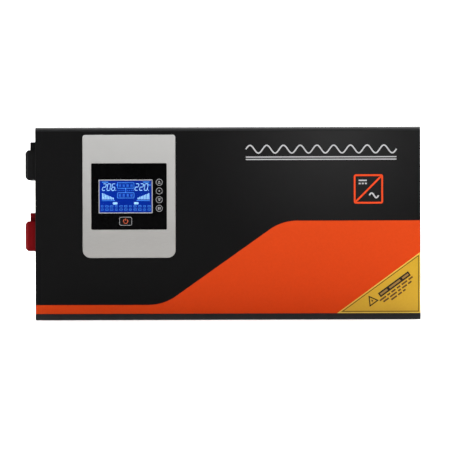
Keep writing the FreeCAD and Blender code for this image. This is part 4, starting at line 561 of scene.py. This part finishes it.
def heading(inks):
    """A sine wave above a double rule, at the upper right."""
    left, right = COVER_HIGH[0] - 196.6 * MM, COVER_HIGH[0] - 26.9 * MM
    rule_top, rule_height, rule_pitch = COVER_HIGH[2] - 33.8 * MM, 1.2 * MM, 2.7 * MM
    rules = [bar(left, right, top - rule_height, top) for top in (rule_top, rule_top - rule_pitch)]
    print_shapes("heading_rules", rules, FILM_FACE, inks["grey"])
    wave_z, wave_height, wave_line, waves = rule_top + 8.2 * MM, 4.4 * MM, 1.5 * MM, 9
    steps = 24 * waves
    wave = sine_band((left + right) / 2, wave_z, right - left, wave_height, wave_line, waves, steps)
    print_shapes("heading_wave", wave, FILM_FACE, inks["grey"], soft=0.0)


def segment_quads(points, width):
    """A long line as mitred quads, one per step."""
    edge = stroke(points, width)
    half = len(edge) // 2
    left, right = edge[:half], edge[half:][::-1]
    return [[left[n], left[n + 1], right[n + 1], right[n]] for n in range(half - 1)]


def sine_band(x, z, length, height, width, waves=1, steps=32):
    """A sine wave of even width, centred on (x, z), as mitred quads."""
    shares = [n / steps for n in range(steps + 1)]
    points = [(x + (share - 0.5) * length, z + height * math.sin(2 * math.pi * waves * share))
              for share in shares]
    return segment_quads(points, width)


def inverter_symbol(inks):
    """The drawing symbol of an inverter: a square cut by a diagonal, direct above, alternating below."""
    middle_x, middle_z = COVER_HIGH[0] - 58.6 * MM, COVER_HIGH[2] - 70.7 * MM
    half, line, corner = 16.5 * MM, 2.0 * MM, 2.4 * MM
    square = frame_line(middle_x - half, middle_x + half, middle_z - half, middle_z + half, corner, line)
    print_shapes("symbol_frame", square, FILM_FACE, inks["orange"], soft=0.0)
    reach = half - line
    diagonal = stroke([(middle_x - reach, middle_z - reach), (middle_x + reach, middle_z + reach)], line)
    print_shapes("symbol_diagonal", [diagonal], FILM_FACE, inks["orange"])
    direct_x, direct_z = middle_x - 6.4 * MM, middle_z + 7.6 * MM
    long_half, short_half, short_pitch, thick = 4.6 * MM, 1.1 * MM, 3.5 * MM, 1.6 * MM
    long_foot, short_foot = direct_z + 1.3 * MM, direct_z - 2.2 * MM
    bars = [bar(direct_x - long_half, direct_x + long_half, long_foot, long_foot + thick)]
    for n in (-1, 0, 1):
        x = direct_x + n * short_pitch
        bars.append(bar(x - short_half, x + short_half, short_foot, short_foot + thick))
    print_shapes("symbol_direct", bars, FILM_FACE, inks["grey"])
    wave_x, wave_z, wave_length, wave_height = middle_x + 6.2 * MM, middle_z - 7.2 * MM, 10.4 * MM, 2.7 * MM
    wave = sine_band(wave_x, wave_z, wave_length, wave_height, thick)
    print_shapes("symbol_alternating", wave, FILM_FACE, inks["grey"], soft=0.0)


def word_dashes(start, end, words):
    """Spans of a row of plain dashes, each as long as a word of so many letters, two letters apart."""
    space = 2.0
    unit = (end - start) / (sum(words) + space * (len(words) - 1))
    spans, at = [], start
    for letters in words:
        spans.append((at, at + letters * unit))
        at += (letters + space) * unit
    return spans


def corner_label(inks):
    """The yellow corner: a pale rim, a thin inset line, a hazard triangle and plain bars along the slope."""
    right, low = CORNER_HIGH[0], CORNER_LOW[2]
    wide, tall = right - CORNER_LOW[0], CORNER_HIGH[2] - low
    slope = math.atan2(tall, wide)
    full = math.hypot(wide, tall)
    along = Vector((math.cos(slope), math.sin(slope)))
    inward = Vector((math.sin(slope), -math.cos(slope)))
    foot = Vector((right - wide, low))

    def triangle(inset):
        """The label's triangle with every side moved in by an inset."""
        start = foot + inward * inset + along * ((inset + inset * math.cos(slope)) / math.sin(slope))
        x_high = right - inset
        z_high = low + inset + (x_high - start.x) * math.tan(slope)
        return [(start.x, low + inset), (x_high, low + inset), (x_high, z_high)]

    def at(u, v):
        """A point u along the slope from its foot and v in from it."""
        return tuple(foot + along * u + inward * v)

    def slanted(u_low, u_high, v_low, v_high):
        return [at(u_low, v_high), at(u_high, v_high), at(u_high, v_low), at(u_low, v_low)]

    rim = loop_band(triangle(0.02 * MM), triangle(0.9 * MM))
    print_shapes("corner_rim", rim, PRINT_FACE, inks["pale"], soft=0.0)
    line = loop_band(triangle(1.6 * MM), triangle(2.4 * MM))
    print_shapes("corner_line", line, PRINT_FACE, inks["dark"], soft=0.0)

    bar_start, bar_end = 0.432 * full, 0.795 * full
    bar_top, bar_foot = 9.1 * MM, 14.7 * MM
    title = slanted(bar_start, bar_end, bar_top, bar_foot)
    print_shapes("corner_bar", [title], PRINT_FACE, inks["black"])
    end_gap, side_gap = 1.6 * MM, 1.7 * MM
    dashes = [slanted(low_u, high_u, bar_top + side_gap, bar_foot - side_gap)
              for low_u, high_u in word_dashes(bar_start + end_gap, bar_end - end_gap, (7, 11, 6))]
    print_shapes("corner_bar_dashes", dashes, PRINT_FACE - INK, inks["tan"], thick=FAINT_INK)
    fine_height = 1.9
    rows = ((0.405, 0.800, 16.2, (9, 4, 6, 5, 8, 6)), (0.427, 0.765, 19.6, (8, 10, 4, 7, 5)),
            (0.500, 0.672, 23.0, (9, 6, 4)))
    fine = []
    for share_low, share_high, v, words in rows:
        fine += [slanted(low_u, high_u, v * MM, (v + fine_height) * MM)
                 for low_u, high_u in word_dashes(share_low * full, share_high * full, words)]
    print_shapes("corner_fine_dashes", fine, PRINT_FACE, inks["brown"])

    centre = Vector(at(0.345 * full, 12.3 * MM))
    size, hole_share = 7.4 * MM, 0.66

    def sign(radius):
        return [tuple(centre + (along * math.cos(t) - inward * math.sin(t)) * radius)
                for t in (math.radians(a) for a in (90, 210, 330))]

    triangle_line = loop_band(sign(size), sign(size * hole_share))
    print_shapes("hazard_sign", triangle_line, PRINT_FACE, inks["black"], soft=0.0)
    flash = [(0.9, 2.6), (-1.3, -0.2), (-0.1, -0.1), (-0.8, -2.2), (1.4, 0.7), (0.1, 0.6)]
    points = [tuple(centre + along * (u * MM) - inward * (v * MM)) for u, v in flash]
    print_shapes("hazard_flash", [points], PRINT_FACE, inks["black"], soft=0.0)


def window_line(inks):
    """The silver line round the screen."""
    edge, corner, line = 0.75 * MM, 0.9 * MM, 1.15 * MM
    outline = frame_line(LCD_LOW[0] - edge, LCD_HIGH[0] + edge, LCD_LOW[2] - edge, LCD_HIGH[2] + edge,
                         corner, line)
    print_shapes("screen_line", outline, WINDOW_FACE, inks["silver"], thick=THIN_INK,
                 soft=0.0)


# ---------------------------------------------------------------- screen content

SEGMENTS = {"0": "abcdef", "2": "abged", "6": "afgedc"}


def digit(char, x, z, width, height, line, slant):
    """A seven-segment digit as leaning bars, from its lower left corner."""
    gap, tip, half = line * 0.18, line * 0.7, line / 2
    middle = height / 2

    def lean(points):
        return [(px + slant * (pz - z), pz) for px, pz in points]

    def across(level):
        return lean([(x + gap, level), (x + tip, level + half), (x + width - tip, level + half),
                     (x + width - gap, level), (x + width - tip, level - half), (x + tip, level - half)])

    def upright(side, low, high):
        return lean([(side, low + gap), (side + half, low + tip), (side + half, high - tip),
                     (side, high - gap), (side - half, high - tip), (side - half, low + tip)])

    bars = {
        "a": across(z + height), "g": across(z + middle), "d": across(z),
        "f": upright(x, z + middle, z + height), "b": upright(x + width, z + middle, z + height),
        "e": upright(x, z, z + middle), "c": upright(x + width, z, z + middle),
    }
    return [bars[key] for key in SEGMENTS[char]]


def reading(text, x, z):
    """A row of leaning digits with a point after the last."""
    width, height, pitch, line, slant, point_back = 3.5 * MM, 7.4 * MM, 5.2 * MM, 0.8 * MM, 0.16, 0.6 * MM
    shapes = []
    for n, char in enumerate(text):
        shapes += digit(char, x + n * pitch, z, width, height, line, slant)
    end = x + len(text) * pitch - point_back
    shapes.append(bar(end, end + line, z - line / 2, z + line / 2))
    return shapes


def key_icon(key, x, z):
    """An arrow over a bar for up and down, a dot for enter, and two uprights for back."""
    if key == "enter_key":
        return [circle(x, z, 0.8 * MM, 20)]
    half, near, far = 1.5 * MM, 0.4 * MM, 1.4 * MM
    if key == "back_key":
        return [bar(x - far, x - near, z - half, z + half), bar(x + near, x + far, z - half, z + half)]
    way = 1 if key == "up_key" else -1
    foot, tip, bar_near, bar_far = 0.2 * MM, 1.7 * MM, 0.9 * MM, 1.5 * MM
    arrow = [(x - half, z - way * foot), (x + half, z - way * foot), (x, z + way * tip)]
    return [arrow, bar(x - half, x + half, *sorted((z - way * bar_far, z - way * bar_near)))]


def screen_content():
    """Two readings, a diagram between them, two wedge meters and rows of small marks."""
    bright = lit("segment_bright", (0.33, 0.66, 1.0), 0.64).material
    middle = lit("segment_middle", (0.055, 0.30, 0.82), 0.8).material
    faint = lit("segment_faint", (0.006, 0.10, 0.50), 0.7).material
    left, right, low, top = LCD_LOW[0], LCD_HIGH[0], LCD_LOW[2], LCD_HIGH[2]
    wide, centre = right - left, (left + right) / 2
    face = SCREEN_FACE - 0.01 * MM

    def show(name, shapes, material):
        print_shapes(name, shapes, face, material, thick=THIN_INK, soft=0.0)

    def mirrored(x_low, x_high, z_low, z_high):
        """A bar measured from the left edge, and its twin from the right."""
        return [bar(left + x_low, left + x_high, z_low, z_high),
                bar(right - x_high, right - x_low, z_low, z_high)]

    digits_z = top - 11.4 * MM
    show("input_reading", reading("206", left + 3.2 * MM, digits_z), bright)
    show("output_reading", reading("220", right - 19.4 * MM, digits_z), bright)

    half, corner, line, stem_half = 9.6 * MM, 0.6 * MM, 0.45 * MM, 0.3 * MM
    upper_low, upper_high, lower_low, lower_high = (top - depth * MM for depth in (9.2, 2.6, 20.2, 13.8))
    boxes = frame_line(centre - half, centre + half, upper_low, upper_high, corner, line)
    boxes += frame_line(centre - half, centre + half, lower_low, lower_high, corner, line)
    boxes.append(bar(centre - stem_half, centre + stem_half, lower_high, upper_low))
    show("diagram_boxes", boxes, middle)

    dots, dot_count, dot_half = [], 9, 0.55 * MM
    for n in range(dot_count):
        x = centre - half + (n + 0.5) * 2 * half / dot_count
        dots.append(bar(x - dot_half, x + dot_half, top - 12.2 * MM, top - 10.9 * MM))
    cell_count, cell_pitch, lower_half, upper_half = 4, 4.4 * MM, 1.2 * MM, 1.3 * MM
    for n in range(cell_count):
        x = centre + (n - (cell_count - 1) / 2) * cell_pitch
        dots.append(bar(x - lower_half, x + lower_half, top - 18.6 * MM, top - 15.4 * MM))
        dots.append(bar(x - upper_half, x + upper_half, top - 7.4 * MM, top - 4.6 * MM))
    show("diagram_marks", dots, faint)

    wedges, wedge_count, shortest, growth = [], 8, 1.3 * MM, 0.72 * MM
    wedge_side, wedge_wide, wedge_pitch, wedge_foot = 3.0 * MM, 1.15 * MM, 1.72 * MM, low + 15.0 * MM
    for n in range(wedge_count):
        start = wedge_side + n * wedge_pitch
        rise = shortest + growth * (wedge_count - n)
        wedges += mirrored(start, start + wedge_wide, wedge_foot, wedge_foot + rise)
    show("wedge_meters", wedges, bright)
    show("wedge_bases", mirrored(2.6 * MM, 17.6 * MM, low + 13.4 * MM, low + 13.9 * MM), middle)

    badges, badge_share, badge_half, badge_corner = [], 0.30, 2.7 * MM, 1.2 * MM
    for x in (left + badge_share * wide, right - badge_share * wide):
        badges.append(round_box(x - badge_half, x + badge_half, low + 9.3 * MM, low + 12.0 * MM,
                                badge_corner))
    show("status_badges", badges, bright)

    marks, row_count, row_side, wide_reach, short_reach = [], 11, 3.2 * MM, 1.75 * MM, 1.2 * MM
    for row, height in ((low + 6.3 * MM, 1.9 * MM), (low + 2.5 * MM, 2.0 * MM)):
        for n in range(row_count):
            x = left + row_side + n * (wide - 2 * row_side) / (row_count - 1)
            reach = wide_reach if n % 3 else short_reach
            marks += frame_line(x - reach, x + reach, row, row + height, 0.35 * MM, 0.32 * MM)
    show("icon_row", marks, middle)

    units = [bar(left + 19.6 * MM, left + 20.8 * MM, top - 6.5 * MM, top - 4.3 * MM),
             bar(right - 2.9 * MM, right - 1.9 * MM, top - 6.5 * MM, top - 4.3 * MM)]
    units += mirrored(3.0 * MM, 10.0 * MM, top - 2.5 * MM, top - 1.6 * MM)
    show("unit_marks", units, middle)


# ---------------------------------------------------------------- key markings


def key_markings(inks):
    """A ring and a plain symbol on each round key, and an outline and a power sign on the wide one."""

    def mark(name, shapes, face, material, key, slot="silver_plate"):
        print_shapes(name, shapes, face, material, key, FAINT_INK, 0.0)

    cap_radius, ring_outer, ring_inner = 4.1 * MM, 0.32 * MM, 0.86 * MM
    for key in ("up_key", "enter_key", "down_key", "back_key"):
        low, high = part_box(key)
        x, z = (low[0] + high[0]) / 2, (low[2] + high[2]) / 2
        ring = loop_band(circle(x, z, cap_radius - ring_outer), circle(x, z, cap_radius - ring_inner))
        mark(key + "_ring", ring, low[1], inks["silver"], key)
        mark(key + "_icon", key_icon(key, x, z), low[1], inks["silver"], key)
    low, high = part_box("power_key")
    x, z = (low[0] + high[0]) / 2, (low[2] + high[2]) / 2
    edge, corner, line = 0.85 * MM, 2.0 * MM, 0.5 * MM
    outline = frame_line(low[0] + edge, high[0] - edge, low[2] + edge, high[2] - edge, corner, line)
    mark("power_key_outline", outline, low[1], inks["silver"], "power_key")
    glow = lit("power_glow", (0.62, 0.10, 0.03), 0.26).material
    radius, line, gap_end, gap_start, steps = 2.4 * MM, 0.55 * MM, 125, 415, 40
    half, foot, tip = 0.28 * MM, 0.6 * MM, 3.1 * MM
    sign = segment_quads(arc(x, z, radius, gap_end, gap_start, steps), line)
    sign.append(bar(x - half, x + half, z + foot, z + tip))
    mark("power_sign", sign, low[1], glow, "power_key", "orange_print")


# ---------------------------------------------------------------- marks on the sides and back

# How far a print that looks along -Y swings to look out from each other side, in degrees
SIDE_TURN = {"back": 180, "ac_end": 90, "dc_end": -90}


def rating_plate(inks):
    """A plain foil plate on the back: a heading bar, ruled rows of dashes and a block of cells."""
    turn, foil, foil_edge = SIDE_TURN["back"], 0.12 * MM, 0.03 * MM
    middle_z, half_x, half_z, corner = 168 * MM, 42 * MM, 26 * MM, 2.5 * MM
    left, top = -half_x, middle_z + half_z
    plate = [round_box(left, half_x, middle_z - half_z, top, corner)]
    print_shapes("rating_plate", plate, -BACK_WALL, inks["foil"], thick=foil,
                 soft=foil_edge, turn=turn)

    def cut(x_low, x_high, drop_low, drop_high):
        """A bar from the plate's left edge and down from its top, in millimetres."""
        return bar(left + x_low * MM, left + x_high * MM, top - drop_low * MM, top - drop_high * MM)

    rows = [cut(4, 52, 9, 4.5)]
    first_drop, pitch, height = 15, 6.2, 1.7
    for n, words in enumerate(((5, 8), (7, 4), (4, 9), (8, 6), (6, 5))):
        drop = first_drop + pitch * n
        for start, end, letters in ((4, 30, words), (36, 56, words[::-1])):
            rows += [cut(low, high, drop, drop - height) for low, high in word_dashes(start, end, letters)]
        rows.append(cut(4, 56, drop + 2.3, drop + 2.0))
    for drop in (17, 29, 41):
        z = top - drop * MM
        rows += frame_line(left + 63 * MM, left + 79 * MM, z - 4 * MM, z + 6 * MM, 1.2 * MM, 0.6 * MM)
        rows.append(cut(66, 76, drop, drop - 2))
    print_shapes("rating_rows", rows, -BACK_WALL - foil, inks["black"], thick=THIN_INK,
                 soft=0.0, turn=turn)


def polarity_signs(inks):
    """A plus beside the red hood and a minus beside the black one."""
    reach, half, hood_gap = 5 * MM, 0.9 * MM, 15 * MM
    for name, node in (("plus_sign", "positive_terminal_base"), ("minus_sign", "negative_terminal_base")):
        low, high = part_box(node)
        x, z = -(high[1] + hood_gap), (low[2] + high[2]) / 2
        shape = bar(x - reach, x + reach, z - half, z + half)
        if name == "plus_sign":
            arm = [(half, half), (half, reach), (-half, reach)]
            shape = []
            while len(shape) < 4 * len(arm):
                shape += [(x + u, z + v) for u, v in arm]
                arm = [(-v, u) for u, v in arm]
        print_shapes(name, [shape], DC_WALL, inks["grey"], turn=SIDE_TURN["dc_end"])


def ac_end_marks(inks):
    """A wave over the outlets, a row of ticks over the mains terminals and a bar under the breaker."""

    def mark(name, shapes, soft=INK_SOFT):
        print_shapes(name, shapes, -AC_WALL, inks["grey"], soft=soft,
                     turn=SIDE_TURN["ac_end"])

    low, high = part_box("upper_outlet")
    rise, length, height, line = 8 * MM, 14 * MM, 2.6 * MM, 1.3 * MM
    mark("outlet_wave", sine_band((low[1] + high[1]) / 2, high[2] + rise, length, height, line), 0.0)

    low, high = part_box("mains_clamp_plates")
    ways, inset, tick_half, tick_height = 6, 4 * MM, 0.45 * MM, 3.2 * MM
    first, last = low[1] + inset, high[1] - inset
    pitch = (last - first) / (ways - 1)
    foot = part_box("mains_terminal_block")[1][2] + 3.5 * MM
    rule_low, rule_high = foot + 4.6 * MM, foot + 5.4 * MM
    ticks = [bar(first + n * pitch - tick_half, first + n * pitch + tick_half, foot, foot + tick_height)
             for n in range(ways)]
    ticks += [bar(first, first + pitch, rule_low, rule_high), bar(last - pitch, last, rule_low, rule_high)]
    mark("terminal_ticks", ticks)

    low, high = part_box("breaker_nut")
    middle, half, drop_low, drop_high = (low[1] + high[1]) / 2, 5 * MM, 5 * MM, 3.6 * MM
    mark("breaker_mark", [bar(middle - half, middle + half, low[2] - drop_low, low[2] - drop_high)])


def fan_stickers(inks):
    """A foil disc with a ring and dashes on each fan's hub, turning with the blades."""
    radius, ring_outer, ring_inner, foil, steps = 13.5 * MM, 1.0 * MM, 1.7 * MM, 0.08 * MM, 40
    longest, shortening, height = 9.0, 0.35, 1.5
    for end, sign in (("dc", -1), ("ac", 1)):
        node, turn = end + "_fan_rotor", SIDE_TURN[end + "_end"]
        low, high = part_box(node)
        outer = -high[0] if sign > 0 else low[0]
        x, z = sign * (low[1] + high[1]) / 2, (low[2] + high[2]) / 2
        disc = [circle(x, z, radius, steps)]
        print_shapes(end + "_fan_disc", disc, outer, inks["foil"], node, foil, 0.0, turn)
        rows = loop_band(circle(x, z, radius - ring_outer, steps), circle(x, z, radius - ring_inner, steps))
        for level, words in ((4.4, (5, 4)), (0.8, (7, 5, 4)), (-2.6, (4, 8)), (-6.0, (6, 3))):
            half = (longest - shortening * abs(level)) * MM
            rows += [bar(a, b, z + level * MM, z + (level + height) * MM)
                     for a, b in word_dashes(x - half, x + half, words)]
        print_shapes(end + "_fan_dashes", rows, outer - foil, inks["black"], node, THIN_INK,
                     0.0, turn)


# ---------------------------------------------------------------- studio


def area_light(name, place, target, size, energy):
    """A white rectangular light at a place, aimed at a target."""
    data = bpy.data.lights.new(name, "AREA")
    data.shape = "RECTANGLE"
    data.size, data.size_y = size
    data.energy = energy
    lamp = bpy.data.objects.new(name, data)
    lamp.location = place
    lamp.rotation_euler = (Vector(target) - Vector(place)).to_track_quat("-Z", "Y").to_euler()
    bpy.context.scene.collection.objects.link(lamp)


def paper_floor():
    """A pale floor that curves up into a backdrop behind the part."""
    half_wide, front, bend_start, bend_radius, backdrop_top = 14.0, -12.0, 1.2, 0.9, 3.2
    bend = [(bend_start + bend_radius * math.sin(t), bend_radius - bend_radius * math.cos(t))
            for t in (math.radians(a) for a in range(0, 91, 6))]
    profile = [(front, 0.0)] + bend + [(bend_start + bend_radius, backdrop_top)]
    work = bmesh.new()
    rows = [[work.verts.new((x, y, z)) for y, z in profile] for x in (-half_wide, half_wide)]
    for n in range(len(profile) - 1):
        work.faces.new((rows[0][n], rows[1][n], rows[1][n + 1], rows[0][n + 1]))
    mesh = bpy.data.meshes.new("floor")
    work.to_mesh(mesh)
    work.free()
    floor = bpy.data.objects.new("floor", mesh)
    bpy.context.scene.collection.objects.link(floor)
    made = Surface("floor_paper", (0.93, 0.93, 0.93), 0.85)
    made.colour(made.blend(made.noise(scale=3, detail=3), (0.92, 0.92, 0.92), (0.95, 0.95, 0.95)))
    made.set("Emission Color", (1.0, 1.0, 1.0, 1.0))
    made.set("Emission Strength", 0.55)
    mesh.materials.append(made.material)


def studio():
    """The floor, a softbox on top, weak front fill, a strip for the top bend and the backdrop's light."""
    paper_floor()
    area_light("top_softbox", (0.3, -0.2, 1.5), (0.05, 0.0, 0.2), (1.5, 1.0), 14)
    area_light("front_fill", (0.45, -1.85, 1.2), (0.05, 0.0, 0.1), (1.0, 0.8), 9.2)
    area_light("top_strip", (0.0, 0.3, 0.95), (0.0, 0.0, 0.2), (1.3, 0.6), 22)
    area_light("backdrop_light", (0.0, 0.9, 2.6), (0.0, 2.1, 0.7), (3.0, 0.8), 60)
    world = bpy.data.worlds.new("studio")
    world.use_nodes = True
    background = world.node_tree.nodes["Background"]
    background.inputs["Color"].default_value = (1.0, 1.0, 1.0, 1.0)
    background.inputs["Strength"].default_value = 0.06
    bpy.context.scene.world = world
    bpy.context.scene.view_settings.view_transform = "Standard"


def camera():
    """Square to the front, with the photograph's small roll, far enough back that the sides stay hidden."""
    distance, across, roll = 1.8, 0.507, 0.17
    eye_x, eye_z = -3.3 * MM, 107.15 * MM
    data = bpy.data.cameras.new("camera")
    data.sensor_width = 36.0
    data.lens = data.sensor_width * distance / across
    eye = bpy.data.objects.new("camera", data)
    eye.location = (eye_x, COVER_LOW[1] - distance, eye_z)
    eye.rotation_euler = (math.radians(90), math.radians(roll), 0.0)
    bpy.context.scene.collection.objects.link(eye)
    bpy.context.scene.camera = eye


camera()
studio()
dress_nodes()
INKS = ink_materials()
heading(INKS)
inverter_symbol(INKS)
corner_label(INKS)
window_line(INKS)
screen_content()
key_markings(INKS)
rating_plate(INKS)
polarity_signs(INKS)
ac_end_marks(INKS)
fan_stickers(INKS)
